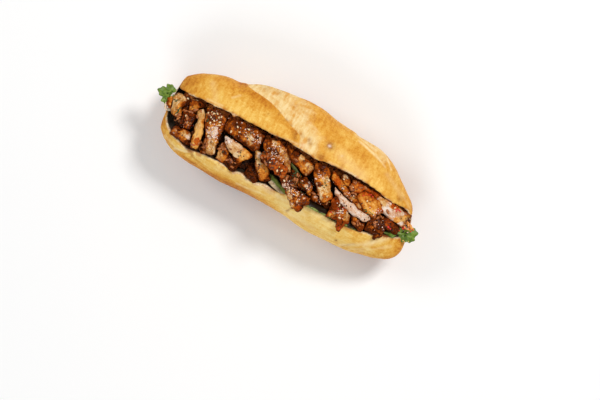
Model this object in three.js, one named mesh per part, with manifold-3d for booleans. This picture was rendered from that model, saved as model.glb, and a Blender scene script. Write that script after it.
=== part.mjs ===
// A filled baguette sandwich: a crusty roll slit from end to end and opened upwards like a pod, with
// grilled pork slices over a layer of the same pork, cucumber strips, coriander and pickled shreds.
//
// Millimetres. X runs along the roll, +Y towards the lid, +Z up. The roll stands on a flat at z = 0.
import * as THREE from "three";
import { mergeVertices } from "three/addons/utils/BufferGeometryUtils.js";
import Module from "manifold-3d";

const wasm = await Module();
wasm.setup();

// ---------------------------------------------------------------- driving dimensions

const ROLL = {
  left: -111.9, // x of the left tip
  right: 118.3, // x of the right tip
  middle: 34, // height of both tips and of the widest line
  squareness: 2.2, // exponent of the superellipse that each cross-section is
  sweepSteps: 40, // facets from tip to tip
  ringSteps: 28, // facets round a cross-section
};

// Side outlines seen from above, as [x, y].
const FRONT_EDGE = [
  [-110, -26], [-106.7, -31.1], [-100.8, -36.5], [-94.2, -40.3], [-85.8, -42.8], [-73.3, -44.5],
  [-52, -45.3], [-20, -44.8], [0, -45.4], [25, -48], [45, -48.9], [75, -48], [90, -46.4],
  [98, -44.7], [106.3, -41.5], [112.1, -38.2], [115.4, -34.9],
];
const LID_EDGE = [
  [-110, 18.2], [-106.7, 23], [-100.8, 27.6], [-94.2, 30.8], [-85.8, 33.4], [-75, 35.3], [-66, 35.8],
  [-60, 38.4], [-52.4, 42.4], [-44, 44.9], [-35.7, 46.8], [-27.3, 48.2], [-19, 48.9], [-10.6, 49.1],
  [-2.3, 48.7], [6, 48], [14, 46.6], [22.8, 44.6], [31, 43.2], [41, 42.6], [58, 42.6], [64.5, 41.1],
  [73, 37.5], [81, 33.2], [89.6, 27], [98, 20.2], [106.3, 13], [111.3, 6.4], [113, 3], [115.4, -5],
];
const LEFT_TIP_Y = -3.5;
const RIGHT_TIP_Y = -26;

// Side view outlines, as [x, z].
const TOP_EDGE = [
  [-106.7, 45], [-100, 50.5], [-90, 56], [-75, 60.5], [-50, 64.5], [-10, 66.8], [40, 66.5],
  [75, 63], [90, 58.5], [100, 54], [110, 47],
];
const UNDER_EDGE = [
  [-106.7, 22], [-100, 15.5], [-90, 8.5], [-75, 3], [-58, 0], [-40, -2], [0, -2.5], [50, -2.2],
  [66, -0.5], [80, 3], [90, 7], [100, 12.5], [110, 20],
];

// The slit: where its two cut edges run, as [x, y], and the hinge left uncut along the back.
const FRONT_RIM = [
  [-110, -12], [-108.3, -19], [-102.5, -26], [-94, -30], [-85.8, -33], [-79, -35], [-69, -33.6],
  [-52, -32.3], [-38, -33.8], [-31, -31.8], [-19, -33.8], [-10, -31.4], [2, -32], [10, -30.3],
  [43, -30.7], [56, -31.5], [69, -31], [77, -29.9], [85, -27.8], [94, -25.3], [102, -22.8],
  [110, -20.2], [116, -19.4],
];
const LID_RIM = [
  [-111, 7.3], [-86, 7.7], [-61, 9], [-31, 9], [-10.6, 9.8], [10, 8.1], [18.6, 7.3], [31, 8.6],
  [56, 9.8], [64.5, 9], [73, 7.7], [81, 6.5], [90, 5.6], [98, 4.8], [104, 5.2], [108, 3.1],
  [112, -1.9],
];
const SLIT = {
  hinge: 7.5, // thickness left uncut along the back
  floor: 11.5, // the least height of the hinge's upper side
  frontFoot: 6, // y of the front cut face at the hinge
  lidFoot: 12.5, // y of the lid's cut face at the hinge
  hollow: 3.5, // how far the front cut face is pressed in at half its height
  above: 82, // the cutting wedge reaches this high, past the crust
  past: 8, // and this far past each tip
  steps: 32,
  risers: 5,
};

// The opened blade cuts in the crust of the lid. Each is a pale sunken floor between two curved sides:
// a lip stands over it on the left, and on the right it climbs back to the crust. A side is given as
// [distance over the crust from the lid's widest line, positive towards the slit, x].
const BLADE_CUTS = [
  {
    left: [
      [-44, -80], [-20, -69], [0, -62.4], [18.5, -58], [28.2, -51], [32.3, -44], [37, -35.7], [42.3, -27.3],
      [47.4, -19], [51.2, -10.6], [54, -2], [60, 1], [76, 12],
    ],
    right: [[-44, -80], [-20, -38], [0, -12], [18, -4], [33, 2], [42, 11], [50.6, 19.4], [60, 23], [76, 12]],
  },
  {
    left: [[-44, 14], [-20, 27], [0, 38], [13, 43], [19.5, 52], [24.7, 60.3], [27.5, 68.7], [31, 75.8]],
    right: [[-44, 14], [-20, 54], [0, 73], [24, 75.4], [31, 75.8]],
  },
];
const CRUST = {
  mmPerRadian: 44,
  floor: 1.7, // depth of a blade cut beside its lip
  lip: 0.9, // height of the lip
  lipWidth: 4, // how far back the lip fades
  step: 2.2, // half the width over which the crust drops from lip to floor
  shallow: 0.35, // share of the lip and the depth that is left at the widest line of the lid
  deepFrom: 22, // distance over the crust from there at which a cut has its full depth
  swell: 0.55, // soft unevenness of the whole crust
};

// The pork is heaped between the cut edges: level with the front one, and sunk under the lid's.
const HEAP = {
  sinkMiddle: 9,
  sinkEnds: 5,
  cover: 5.6, // depth of the loose slices over the layer beneath
  setBack: 9, // from each tip
  bumps: 1.3,
  steps: 18,
  across: 3,
};

const GAP = 0.3; // clearance between pieces that touch
const SMOOTHED_AWAY = { thin: 0.12, thick: 0.2 }; // the finest detail kept on thin and on thick pieces
const SEED = { long: 1.5, wide: 0.95, high: 0.65, sunk: 0.3 };

// ---------------------------------------------------------------- small helpers

const mix = (a, b, t) => a + (b - a) * t;
const clamp = (v, low, high) => Math.min(high, Math.max(low, v));
const radians = THREE.MathUtils.degToRad;

// The value at x of a smooth curve through knots [[x, value], ...], level past its ends.
function through(knots, x) {
  const last = knots.length - 1;
  if (x <= knots[0][0]) return knots[0][1];
  if (x >= knots[last][0]) return knots[last][1];
  const i = knots.findIndex((k) => k[0] > x) - 1;
  const slope = (j) => {
    const a = knots[Math.max(j - 1, 0)];
    const b = knots[Math.min(j + 1, last)];
    return (b[1] - a[1]) / (b[0] - a[0]);
  };
  const [x0, y0] = knots[i];
  const [x1, y1] = knots[i + 1];
  const h = x1 - x0;
  const t = (x - x0) / h;
  const t2 = t * t;
  const t3 = t2 * t;
  return (2 * t3 - 3 * t2 + 1) * y0 + (t3 - 2 * t2 + t) * h * slope(i)
    + (3 * t2 - 2 * t3) * y1 + (t3 - t2) * h * slope(i + 1);
}

function keepPlacesOnly(geometry) {
  for (const name of Object.keys(geometry.attributes)) {
    if (name !== "position") geometry.deleteAttribute(name);
  }
}

// A closed manifold-3d solid from a geometry whose faces all point out.
function solidOf(geometry) {
  const bare = geometry.clone();
  keepPlacesOnly(bare);
  const merged = mergeVertices(bare, 1e-4);
  return new wasm.Manifold(new wasm.Mesh({
    numProp: 3,
    vertProperties: new Float32Array(merged.attributes.position.array),
    triVerts: new Uint32Array(merged.index.array),
  }));
}

// The largest piece of a solid, so that crumbs left by a cut are dropped, with details finer than the
// tolerance smoothed away.
function largest(solid, tolerance = SMOOTHED_AWAY.thin) {
  return solid.simplify(tolerance).decompose().reduce((a, b) => (a.volume() > b.volume() ? a : b));
}
function geometryOf(solid) {
  const mesh = solid.getMesh();
  const geometry = new THREE.BufferGeometry();
  geometry.setAttribute("position", new THREE.BufferAttribute(new Float32Array(mesh.vertProperties), 3));
  geometry.setIndex(new THREE.BufferAttribute(new Uint32Array(mesh.triVerts), 1));
  geometry.computeVertexNormals();
  return geometry;
}

// A geometry with each vertex moved by place(Vector3).
function shaped(geometry, place) {
  const position = geometry.attributes.position;
  const v = new THREE.Vector3();
  for (let i = 0; i < position.count; i++) {
    place(v.fromBufferAttribute(position, i));
    position.setXYZ(i, v.x, v.y, v.z);
  }
  return geometry;
}

// A closed solid with two like faces: the flat geometry's points go to place(x, y, +1) on one face
// and place(x, y, -1) on the other, and walls join the two round its border.
function twoFaced(flat, place) {
  keepPlacesOnly(flat);
  const sheet = mergeVertices(flat, 1e-5);
  const count = sheet.attributes.position.count;
  const faces = Array.from(sheet.index.array);
  const points = [];
  for (const side of [1, -1]) {
    for (let i = 0; i < count; i++) {
      points.push(...place(sheet.attributes.position.getX(i), sheet.attributes.position.getY(i), side));
    }
  }
  const edges = new Map();
  const index = [];
  for (let f = 0; f < faces.length; f += 3) {
    const [a, b, c] = faces.slice(f, f + 3);
    index.push(a, b, c, a + count, c + count, b + count);
    for (const [p, q] of [[a, b], [b, c], [c, a]]) {
      if (!edges.delete(`${q} ${p}`)) edges.set(`${p} ${q}`, [p, q]);
    }
  }
  for (const [p, q] of edges.values()) index.push(p, p + count, q + count, p, q + count, q);
  const geometry = new THREE.BufferGeometry();
  geometry.setAttribute("position", new THREE.Float32BufferAttribute(points, 3));
  geometry.setIndex(index);
  return geometry;
}

// ---------------------------------------------------------------- the roll

const rollMiddle = (ROLL.left + ROLL.right) / 2;
const rollHalf = (ROLL.right - ROLL.left) / 2;
const sweepOf = (x) => Math.asin(clamp((x - rollMiddle) / rollHalf, -1, 1));

// Outlines are read by sweep angle, in which a round tip is a straight run to the tip's own value.
function outline(knots, leftTip, rightTip) {
  const swept = [[-Math.PI / 2, leftTip], ...knots.map(([x, v]) => [sweepOf(x), v]), [Math.PI / 2, rightTip]];
  return (x) => through(swept, sweepOf(x));
}
const frontEdge = outline(FRONT_EDGE, LEFT_TIP_Y, RIGHT_TIP_Y);
const lidEdge = outline(LID_EDGE, LEFT_TIP_Y, RIGHT_TIP_Y);
const topEdge = outline(TOP_EDGE, ROLL.middle, ROLL.middle);
const underEdge = outline(UNDER_EDGE, ROLL.middle, ROLL.middle);

const ramp = (from, to, v) => THREE.MathUtils.smoothstep(v, from, to);
function crustRelief(x, angle) {
  const c = angle * CRUST.mmPerRadian;
  let height = CRUST.swell * (Math.sin(x * 0.071 + 1.3 * angle) + 0.6 * Math.sin(x * 0.163 - 2 * angle + 2));
  const deepness = THREE.MathUtils.lerp(CRUST.shallow, 1, ramp(0, CRUST.deepFrom, c));
  for (const cut of BLADE_CUTS) {
    const left = through(cut.left, c);
    const right = through(cut.right, c);
    const slant = through(cut.left, c + 1) - left;
    const inside = (x - left) / Math.hypot(1, slant);
    const faded = clamp((right - left) / 10, 0, 1);
    const sunk = ramp(-CRUST.step, CRUST.step, inside) * (1 - ramp((left + right) / 2, right, x));
    const lip = Math.exp(-(((inside + CRUST.step) / CRUST.lipWidth) ** 2));
    height += faded * deepness * (CRUST.lip * lip - CRUST.floor * sunk);
  }
  return height;
}

// The crust, closed, as if the roll had no slit. grow moves it outwards.
function crust(grow = 0) {
  const ball = new THREE.SphereGeometry(1, ROLL.ringSteps, ROLL.sweepSteps);
  return solidOf(shaped(ball, (v) => {
    const sweep = Math.asin(clamp(v.y, -1, 1));
    const x = rollMiddle + rollHalf * Math.sin(sweep);
    const turn = Math.atan2(v.x, v.z);
    const angle = turn + 0.3 * Math.sin(0.9 - turn); // finer steps on the lid
    const round = Math.cos(sweep);
    const middle = (frontEdge(x) + lidEdge(x)) / 2;
    const bend = (s) => Math.sign(s) * Math.abs(s) ** (2 / ROLL.squareness);
    const rise = Math.sin(angle) > 0 ? topEdge(x) - ROLL.middle : ROLL.middle - underEdge(x);
    const out = (crustRelief(x, angle) + grow) * Math.min(1, round * 3);
    v.set(
      x + Math.sign(sweep) * grow * (1 - Math.min(1, round * 3)),
      middle + (lidEdge(x) - middle) * bend(Math.cos(angle)) + out * Math.cos(angle),
      ROLL.middle + rise * bend(Math.sin(angle)) + out * Math.sin(angle),
    );
  }));
}

// Height of the crust's upper side over a point.
function crustTop(x, y) {
  const middle = (frontEdge(x) + lidEdge(x)) / 2;
  const half = Math.max(lidEdge(x) - middle, 0.1);
  const share = Math.min(1, Math.abs((y - middle) / half)) ** ROLL.squareness;
  return ROLL.middle + (topEdge(x) - ROLL.middle) * (1 - share) ** (1 / ROLL.squareness);
}
const frontRim = (x) => through(FRONT_RIM, x);
const lidRim = (x) => through(LID_RIM, x);

const hingeTop = (x) => Math.max(SLIT.floor, underEdge(x) + SLIT.hinge);

// The two cut faces, as y at a height.
function frontFace(x, z) {
  const foot = hingeTop(x);
  const f = (z - foot) / Math.max(crustTop(x, frontRim(x)) - foot, 4);
  return mix(SLIT.frontFoot, frontRim(x), f) - SLIT.hollow * Math.sin(Math.PI * clamp(f, 0, 1));
}
function lidFace(x, z) {
  const foot = hingeTop(x);
  const f = (z - foot) / Math.max(crustTop(x, lidRim(x)) - foot, 4);
  return mix(SLIT.lidFoot, lidRim(x), clamp(f, 0, 1.1));
}
function slit(shrink = 0) {
  const block = new THREE.BoxGeometry(1, 1, 1, SLIT.steps, 1, SLIT.risers);
  return solidOf(shaped(block, (v) => {
    const x = mix(ROLL.left - SLIT.past, ROLL.right + SLIT.past, v.x + 0.5);
    const foot = hingeTop(x) + shrink;
    const z = mix(foot, SLIT.above, (v.z + 0.5) ** 1.3);
    v.set(x, v.y < 0 ? frontFace(x, z) + shrink : lidFace(x, z) - shrink, z);
  }));
}
function bread(grow = 0) {
  const under = new THREE.BoxGeometry(400, 200, 40).translate(0, 0, -20 - grow);
  return crust(grow).subtract(slit(grow)).subtract(solidOf(under));
}

// ---------------------------------------------------------------- the filling's surface

function heapTop(x, y) {
  const low = frontRim(x);
  const high = lidRim(x);
  const inland = clamp(Math.min(x - ROLL.left, ROLL.right - x) / 35, 0, 1);
  const sink = mix(HEAP.sinkEnds, HEAP.sinkMiddle, inland);
  const t = clamp((y - low) / (high - low), -0.3, 1.2);
  return mix(crustTop(x, low), crustTop(x, high) - sink, t);
}
// A frame that lies on the filling's surface, heading along the given direction.
function lieOn(x, y, heading, lift) {
  const step = 5;
  const px = clamp(x, ROLL.left + 9, ROLL.right - 9);
  const rise = new THREE.Vector3(2 * step, 0, heapTop(px + step, y) - heapTop(px - step, y));
  const climb = new THREE.Vector3(0, 2 * step, heapTop(px, y + step) - heapTop(px, y - step));
  const up = rise.cross(climb).normalize();
  const along = new THREE.Vector3(Math.cos(heading), Math.sin(heading), 0);
  along.addScaledVector(up, -along.dot(up)).normalize();
  const across = up.clone().cross(along);
  const place = new THREE.Matrix4().makeBasis(along, across, up);
  const foot = new THREE.Vector3(x, y, heapTop(px, y) + lift);
  return place.setPosition(foot);
}

// ---------------------------------------------------------------- the layer under the slices

function porkLayer() {
  const block = new THREE.BoxGeometry(1, 1, 1, HEAP.steps, HEAP.across, 2);
  return solidOf(shaped(block, (v) => {
    const x = mix(ROLL.left + HEAP.setBack, ROLL.right - HEAP.setBack, v.x + 0.5);
    const foot = hingeTop(x) + 4 * GAP;
    const t = v.y + 0.5;
    const yTop = mix(frontRim(x), lidRim(x), t);
    const bump = HEAP.bumps * (Math.sin(x * 0.47 + 5 * t) + Math.sin(x * 0.29 - 7 * t + 1));
    const top = heapTop(x, yTop) - HEAP.cover + bump * Math.sin(Math.PI * t);
    const z = mix(foot, Math.max(top, foot + 2), v.z + 0.5);
    v.set(x, mix(frontFace(x, z) + 3 * GAP, lidFace(x, z) - 3 * GAP, t), z);
  }));
}

// ---------------------------------------------------------------- the slices

// One slice of pork: its four corners seen from above as [x, y], anticlockwise, two at one end and two at
// the far one; the lift of its mid-plane over the filling's surface; and where it isn't as usual its
// thickness, its roll about its length in degrees, its bow (how far its middle arches up) and its sweep
// (how far its middle lies left of straight). A spur is a scrap hanging from it, by its corners.
const SLICES = [
  { name: "01", corners: [[-99.5, 3], [-108, 5], [-110, -10], [-97.5, -17.5]],
    lift: 2.6, roll: 4 },
  { name: "02", corners: [[-84, 5.5], [-97.5, 6], [-94, -5], [-88.5, -5]],
    lift: 0.6, roll: 6, bow: 1 },
  { name: "03", corners: [[-85, -5], [-96, -3], [-95, -20.5], [-85.5, -19]],
    thick: 7, lift: 0 },
  { name: "04", corners: [[-100, -22], [-99, -29.5], [-81, -31.5], [-81, -20.5]],
    thick: 6, lift: -1.2, bow: 1 },
  { name: "05", corners: [[-81.5, 1.5], [-87, -1], [-78.5, -33], [-71.5, -30.5]],
    thick: 8, lift: 2.6, bow: 1, sweep: 1.5 },
  { name: "06", corners: [[-63, 4], [-81.5, 5.5], [-65.5, -29], [-58, -29]],
    lift: 3.4, roll: 3 },
  { name: "07", corners: [[-63, 6.5], [-60.5, -6], [-28, -10], [-26.5, 6]],
    thick: 8, lift: 1.4, roll: -8, bow: 2.5 },
  { name: "08", corners: [[-52.5, -13.5], [-56, -13.5], [-55.5, -31], [-45, -28]],
    lift: -0.6, bow: 1 },
  { name: "09", corners: [[-58.5, -8], [-54.5, -15], [-35.5, -26.5], [-26.5, -13]],
    lift: 2, roll: 5 },
  { name: "10", corners: [[-48.5, -23], [-48, -31.5], [-35.5, -32.5], [-35, -22.5]],
    thick: 6, lift: -1.4, bow: 1 },
  { name: "11", corners: [[-21, -8], [-30.5, -7.5], [-15.5, -31], [-5, -26]],
    lift: 2.2, roll: -6 },
  { name: "12", corners: [[-29.5, -22], [-27.5, -32], [-17, -34], [-17, -23.5]],
    thick: 7, lift: -1.8, bow: 1 },
  { name: "13", corners: [[-11, 7.5], [-27, 3], [-15, -15], [7, -12.5]],
    lift: 3.8, roll: 3, bow: 1.5 },
  { name: "14", corners: [[-22.5, -6.5], [-22, -12.8], [2.5, -20.5], [5, -10.5]],
    lift: 7.8, roll: 4 },
  { name: "15", corners: [[6.5, -14.4], [-5.6, -16.5], [22.8, -38.6], [23.6, -30]],
    lift: 4.8, roll: 2,
    spur: [[12, -22.4], [16, -34.5], [27, -38.6], [30.6, -23.2]] },
  { name: "16", corners: [[-10, 7.5], [-7, 0], [19.5, -10], [21.5, 3]],
    lift: 1.4, roll: -7 },
  { name: "17", corners: [[13.5, -10.5], [16, -20.5], [29, -21.5], [26, -11]],
    lift: 1.2, bow: 1 },
  { name: "18", corners: [[5, -9], [5.5, -20], [16.5, -23], [15, -10]],
    thick: 6, lift: 0.2 },
  { name: "19", corners: [[27.5, -17.5], [28, -23.5], [36.5, -24], [35.5, -18.5]],
    lift: -0.6, bow: 1 },
  { name: "20", corners: [[32.5, 7.5], [19.5, 5], [39.5, -21.5], [48.5, -15]],
    lift: 3.4, roll: 4, sweep: -2 },
  { name: "21", corners: [[36, 5], [37.5, -1.5], [58, -9], [59.5, -4.5]],
    lift: 2.4, roll: -8, bow: 1.5 },
  { name: "22", corners: [[44, 7.5], [45, 0], [54, -1], [53, 7.5]],
    lift: 0.4, bow: 1 },
  { name: "23", corners: [[54.5, 7.5], [54, -3.5], [78.5, -2], [83, 5.5]],
    thick: 6, lift: 1, roll: -6, bow: 1.5 },
  { name: "24", corners: [[43, -4], [45.5, -9.5], [79, -21], [82.5, -14.5]],
    thick: 7, lift: 4, bow: 1, sweep: -2.5 },
  { name: "25", corners: [[60.5, -15], [47, -13], [48, -30.5], [68.5, -28.5]],
    lift: 3.2, roll: -4, bow: 2.5,
    spur: [[65.5, -27], [58, -28.5], [61, -37.5], [63.5, -37.5]] },
  { name: "26", corners: [[69, 4.5], [62.5, -5], [83.5, -15.5], [89, -2.5]],
    lift: 4.4, roll: -4 },
  { name: "27", corners: [[58, -2], [58.5, -10.5], [79, -17.5], [81.5, -10]],
    lift: 2, bow: 1 },
  { name: "28", corners: [[77, 4.5], [84, -5.5], [109, -10], [112, 2.5]],
    thick: 6, lift: 3.6, roll: -10, bow: 1.5 },
  { name: "29", corners: [[96, -9.5], [83.5, -10.5], [81, -25.5], [97.5, -26.5]],
    thick: 8, lift: 1, bow: 2.5,
    spur: [[95.5, -25.5], [91, -26], [91.5, -29.5], [94, -29.5]] },
  { name: "30", corners: [[88, -7.5], [88, -15], [106.5, -17.5], [108.5, -10]],
    lift: 1.2, bow: 1 },
  { name: "31", corners: [[67.5, -20], [69.5, -25.5], [80.5, -29], [81, -20.5]],
    thick: 6, lift: -0.4, bow: 1 },
  { name: "32", corners: [[-108.5, -1], [-112.5, -0.5], [-114, -7], [-109, -11.5]],
    thick: 4, lift: 0.6, bow: 1 },
  { name: "33", corners: [[-63.5, -19.5], [-71, -21], [-69.5, -32], [-63, -30]],
    thick: 3, lift: -1.6, bow: 1 },
  { name: "34", corners: [[-94, 3], [-100, 4.5], [-97.5, -9.5], [-93.5, -7.5]],
    lift: -0.6, bow: 1 },
  { name: "35", corners: [[34, -17], [35.5, -23.5], [48, -25.5], [47, -18.5]],
    lift: -2, bow: 1 },
];
const SLICE_STEPS = { long: 6, wide: 3 };
const CROWDING = { long: 0.8, wide: 0.5 }; // powers that draw the facets' lines towards the edges
const ROUNDNESS = 0.2; // 0 leaves a slice's corners square, 1 makes it an oval
const THIN_EDGE = 0.4; // share of the thickness that is lost at the edge
const SPUR = { thick: 4, bow: 0, steps: { long: 3, wide: 2 } };
const SLANTED = 1.5; // times that points move out by a clearance, so that slanted faces keep it too

// The frame that a slice lies in: x along it, y across it and z out of its face.
function sliceFrame({ corners, lift, roll = 0 }) {
  const [a, b, c, d] = corners;
  const heading = Math.atan2(c[1] + d[1] - a[1] - b[1], c[0] + d[0] - a[0] - b[0]);
  const place = lieOn((a[0] + b[0] + c[0] + d[0]) / 4, (a[1] + b[1] + c[1] + d[1]) / 4, heading, lift);
  return place.multiply(new THREE.Matrix4().makeRotationX(radians(roll)));
}
// The point of a frame's own plane that is seen from above at x, y.
function inPlane(place, [x, y]) {
  const [along, across, up] = [new THREE.Vector3(), new THREE.Vector3(), new THREE.Vector3()];
  place.extractBasis(along, across, up);
  const dx = x - place.elements[12];
  const dy = y - place.elements[13];
  const area = along.x * across.y - along.y * across.x;
  return [(dx * across.y - dy * across.x) / area, (along.x * dy - along.y * dx) / area];
}
// A point of a slice in its own frame, from a, b in -1..1 over its face and side +1 or -1.
function slicePoint(slice, quad, a, b, side, grow) {
  const { thick = 5, bow = 2, sweep = 0 } = slice;
  const phase = Number(slice.name) * 2.4;
  const p = a * Math.sqrt(1 - ROUNDNESS * b * b);
  const q = b * Math.sqrt(1 - ROUNDNESS * a * a);
  const angle = Math.atan2(q, p);
  const ragged = 1 + 0.05 * Math.sin(3 * angle + phase) + 0.04 * Math.sin(5 * angle - 2 * phase);
  const s = (p * ragged + 1) / 2;
  const t = (q * ragged + 1) / 2;
  const [x, y] = [0, 1].map((k) => mix(mix(quad[1][k], quad[0][k], t), mix(quad[2][k], quad[3][k], t), s));
  const edge = Math.max(Math.abs(a), Math.abs(b)) ** 6;
  const out = grow * SLANTED;
  const halfThick = (thick / 2) * (1 - THIN_EDGE * edge) + out;
  const ripple = 0.5 * Math.sin(4.2 * p + phase) + 0.3 * Math.sin(5 * q + 2 * phase);
  return new THREE.Vector3(
    x + p * out,
    y + q * out + sweep * (1 - p * p),
    bow * (0.6 - p * p) + ripple + side * halfThick,
  );
}
const crowded = (v, power) => Math.sign(v) * Math.abs(v) ** power;
function sliceSolid(slice, grow = 0) {
  const place = sliceFrame(slice);
  const quad = slice.corners.map((corner) => inPlane(place, corner));
  const { long, wide } = slice.steps ?? SLICE_STEPS;
  const flat = new THREE.PlaneGeometry(2, 2, long, wide);
  const solid = solidOf(twoFaced(flat, (a, b, side) => {
    const [p, q] = [crowded(a, CROWDING.long), crowded(b, CROWDING.wide)];
    return slicePoint(slice, quad, p, q, side, grow).applyMatrix4(place).toArray();
  }));
  if (!slice.spur) return solid;
  const { name, lift, spur } = slice;
  return solid.add(sliceSolid({ ...SPUR, name, lift, corners: spur }, grow));
}

// Sesame seeds by the x, y where each lies; each is turned a golden angle on from the one before.
const SEEDS = [
  [-99.2, 3.4], [-93.3, -10.2], [-78, 0.5], [-75.8, 2.7], [-73.3, 2.3], [-70.9, 3.6], [-68.3, 1],
  [-66.8, 2.6], [-65.8, -1.9], [-70.3, -3.1], [-74.1, -1.5], [-72.6, -6], [-64.8, -4.4], [-67.2, -8.2],
  [-71.2, -10.4], [-66.2, -12.6], [-69, -16.4], [-63.6, -18.6], [-50.7, 1.5], [-53.8, -4.6], [-41.5, 3.8],
  [-47.4, -1.9], [-12.4, 3.2], [-4.8, -15.7], [-1.6, -14], [-13.2, -12.2], [4.2, -20.4], [11.6, -26],
  [19.4, -25], [21.4, -30.6], [36.8, -3], [41.6, -15.4], [54.1, -17.5], [57, -20.8], [58.7, -26.5],
  [62.6, -20.6], [73, -3.4], [96.2, 2.2], [57, 1.3], [47.4, 3.4],
];
const GOLDEN_ANGLE = Math.PI * (3 - Math.sqrt(5));

// The seeds on one slice: each spot is dropped onto the slices and kept if this one catches it.
function seedsOn(index, meshes) {
  const drop = new THREE.Raycaster();
  const found = [];
  SEEDS.forEach(([x, y], i) => {
    drop.set(new THREE.Vector3(x, y, 200), new THREE.Vector3(0, 0, -1));
    const [hit] = drop.intersectObjects(meshes);
    if (!hit || hit.object !== meshes[index]) return;
    const seed = new THREE.SphereGeometry(1, 5, 3).rotateX(Math.PI / 2);
    seed.scale(SEED.long, SEED.wide, SEED.high).rotateZ(i * GOLDEN_ANGLE);
    const tip = new THREE.Quaternion().setFromUnitVectors(new THREE.Vector3(0, 0, 1), hit.face.normal);
    seed.applyQuaternion(tip).translate(hit.point.x, hit.point.y, hit.point.z + SEED.high - SEED.sunk);
    found.push(solidOf(seed));
  });
  return found;
}

// ---------------------------------------------------------------- greens and pickles

// Strips of cucumber, given like the slices.
const CUCUMBER = [
  { name: "41", corners: [[-10.5, -18], [-11, -27], [6, -31.5], [14.5, -29]],
    thick: 3.4, lift: -0.6, roll: -14, bow: 0 },
  { name: "42", corners: [[23, -25], [23, -30.5], [78.5, -30], [78.5, -25]],
    thick: 3, lift: -0.4, roll: -30, bow: 0 },
  { name: "43", corners: [[-0.5, -1.5], [-1.5, -4.5], [15, -13.5], [16, -10.5]],
    thick: 3, lift: 1.6, bow: 0 },
];

// Coriander: a stalk with fan-shaped leaflets of three toothed lobes. Each leaflet is given by the
// spot of its foot, its heading in degrees, its length and its lift.
const LEAF = { thick: 0.7, points: 16, wave: 0.9 };
const CORIANDER = {
  coriander_left: {
    stalk: [[-100, 2.5, 43.5], [-106, 0.5, 43], [-112, 0, 44]],
    leaves: [
      { at: [-111, 1, 44.2], turn: 150, size: 9 },
      { at: [-112.5, 0, 44], turn: 185, size: 11 },
      { at: [-111, -1, 43.8], turn: 225, size: 9 },
    ],
  },
  coriander_right: {
    stalk: [[97, -20.2, 49.4], [102, -18.8, 47.6], [107.5, -15.8, 44.6], [112, -14.4, 43.2]],
    leaves: [
      { at: [107.5, -14.6, 43.4], turn: 70, size: 6.5 },
      { at: [111, -13.6, 43], turn: 24, size: 12 },
      { at: [111.5, -14.2, 42.8], turn: 0, size: 10.5 },
      { at: [109.5, -15, 43.6], turn: -22, size: 8 },
      { at: [98, -19.8, 48.4], turn: 13, size: 8.5 },
    ],
  },
};
const STALK_RADIUS = 1.1;

function rod(points, radius, sides = 6, steps = 5) {
  const path = new THREE.CatmullRomCurve3(points.map((p) => new THREE.Vector3(...p)));
  const section = new THREE.Shape(new THREE.Path().absarc(0, 0, radius, 0, 2 * Math.PI).getPoints(sides / 2));
  return solidOf(new THREE.ExtrudeGeometry(section, { steps, bevelEnabled: false, extrudePath: path }));
}
// Distance from a leaflet's foot to its rim, in the direction t (0 straight out), as a share of 1.
function leafRim(t) {
  const fan = Math.cos(t / 2) ** 2;
  const lobes = 0.8 + 0.2 * Math.cos(3 * t);
  const teeth = 0.93 + 0.07 * Math.cos(12 * t);
  return fan * lobes * teeth;
}
function leaflet({ at, turn, size }, grow = 0) {
  const disc = new THREE.CircleGeometry(1, LEAF.points);
  const heading = radians(turn);
  return solidOf(twoFaced(disc, (px, py, side) => {
    const t = Math.atan2(py, px);
    const reach = Math.hypot(px, py) > 0.5 ? leafRim(t) * 1.15 + 0.1 : 0;
    const x = (0.3 + Math.cos(t) * reach * 0.72) * size;
    const y = Math.sin(t) * reach * 0.8 * size;
    const z = LEAF.wave * Math.sin(0.5 * x + at[0]) + LEAF.wave * 0.6 * Math.cos(0.8 * y);
    return [
      at[0] + x * Math.cos(heading) - y * Math.sin(heading),
      at[1] + x * Math.sin(heading) + y * Math.cos(heading),
      at[2] + z + side * (LEAF.thick / 2 + grow),
    ];
  }));
}
function coriander({ stalk, leaves }, grow = 0) {
  return leaves.reduce((whole, leaf) => whole.add(leaflet(leaf, grow)), rod(stalk, STALK_RADIUS + grow));
}

// Pickled shreds poking out of the ends, each a path of points.
const SHREDS = {
  carrot_shreds: [
    [[101, -7.5, 42.2], [108, -5.4, 43.6], [114, -4.6, 44.8], [117.4, -7.2, 44.2]],
    [[101, -6.6, 42.4], [109, -8, 43.4], [114.6, -8.4, 43.2], [119.4, -6.4, 43.4]],
    [[101, -6, 42], [107, -4.4, 43.6], [111.2, -3.8, 45.2], [114, -6.2, 46.4]],
  ],
  daikon_shreds: [
    [[101, -9.6, 40], [108, -9, 40.4], [116.6, -9.8, 40.6]],
    [[101, -9.2, 40.4], [109, -10.6, 40.6], [115, -11.6, 40.4]],
  ],
  daikon_shred_left: [
    [[-98, -8, 38], [-106, -10.4, 40], [-111.6, -12.6, 41.6], [-113.4, -10, 42.4], [-114.4, -7.2, 42.8]],
  ],
};
const SHRED_RADIUS = 1.05;
function shreds(paths, grow = 0) {
  return paths.map((p) => rod(p, SHRED_RADIUS + grow, 6, 4)).reduce((a, b) => a.add(b));
}

// ---------------------------------------------------------------- putting it together

const COLOURS = {
  bread: 0xe0a54c,
  layer: 0x4a2210,
  pork: 0xa8703c,
  cucumber: 0x6f8a3c,
  coriander: 0x5c7a2b,
  carrot: 0xe8922e,
  daikon: 0xe9d9bd,
};
const sandwich = new THREE.Group();
sandwich.name = "banh_mi_sandwich";
function addPiece(name, solid, colour, roughness) {
  const mesh = new THREE.Mesh(
    geometryOf(largest(solid)),
    new THREE.MeshStandardMaterial({ color: colour, roughness, metalness: 0 }),
  );
  mesh.name = name;
  sandwich.add(mesh);
}

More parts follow.
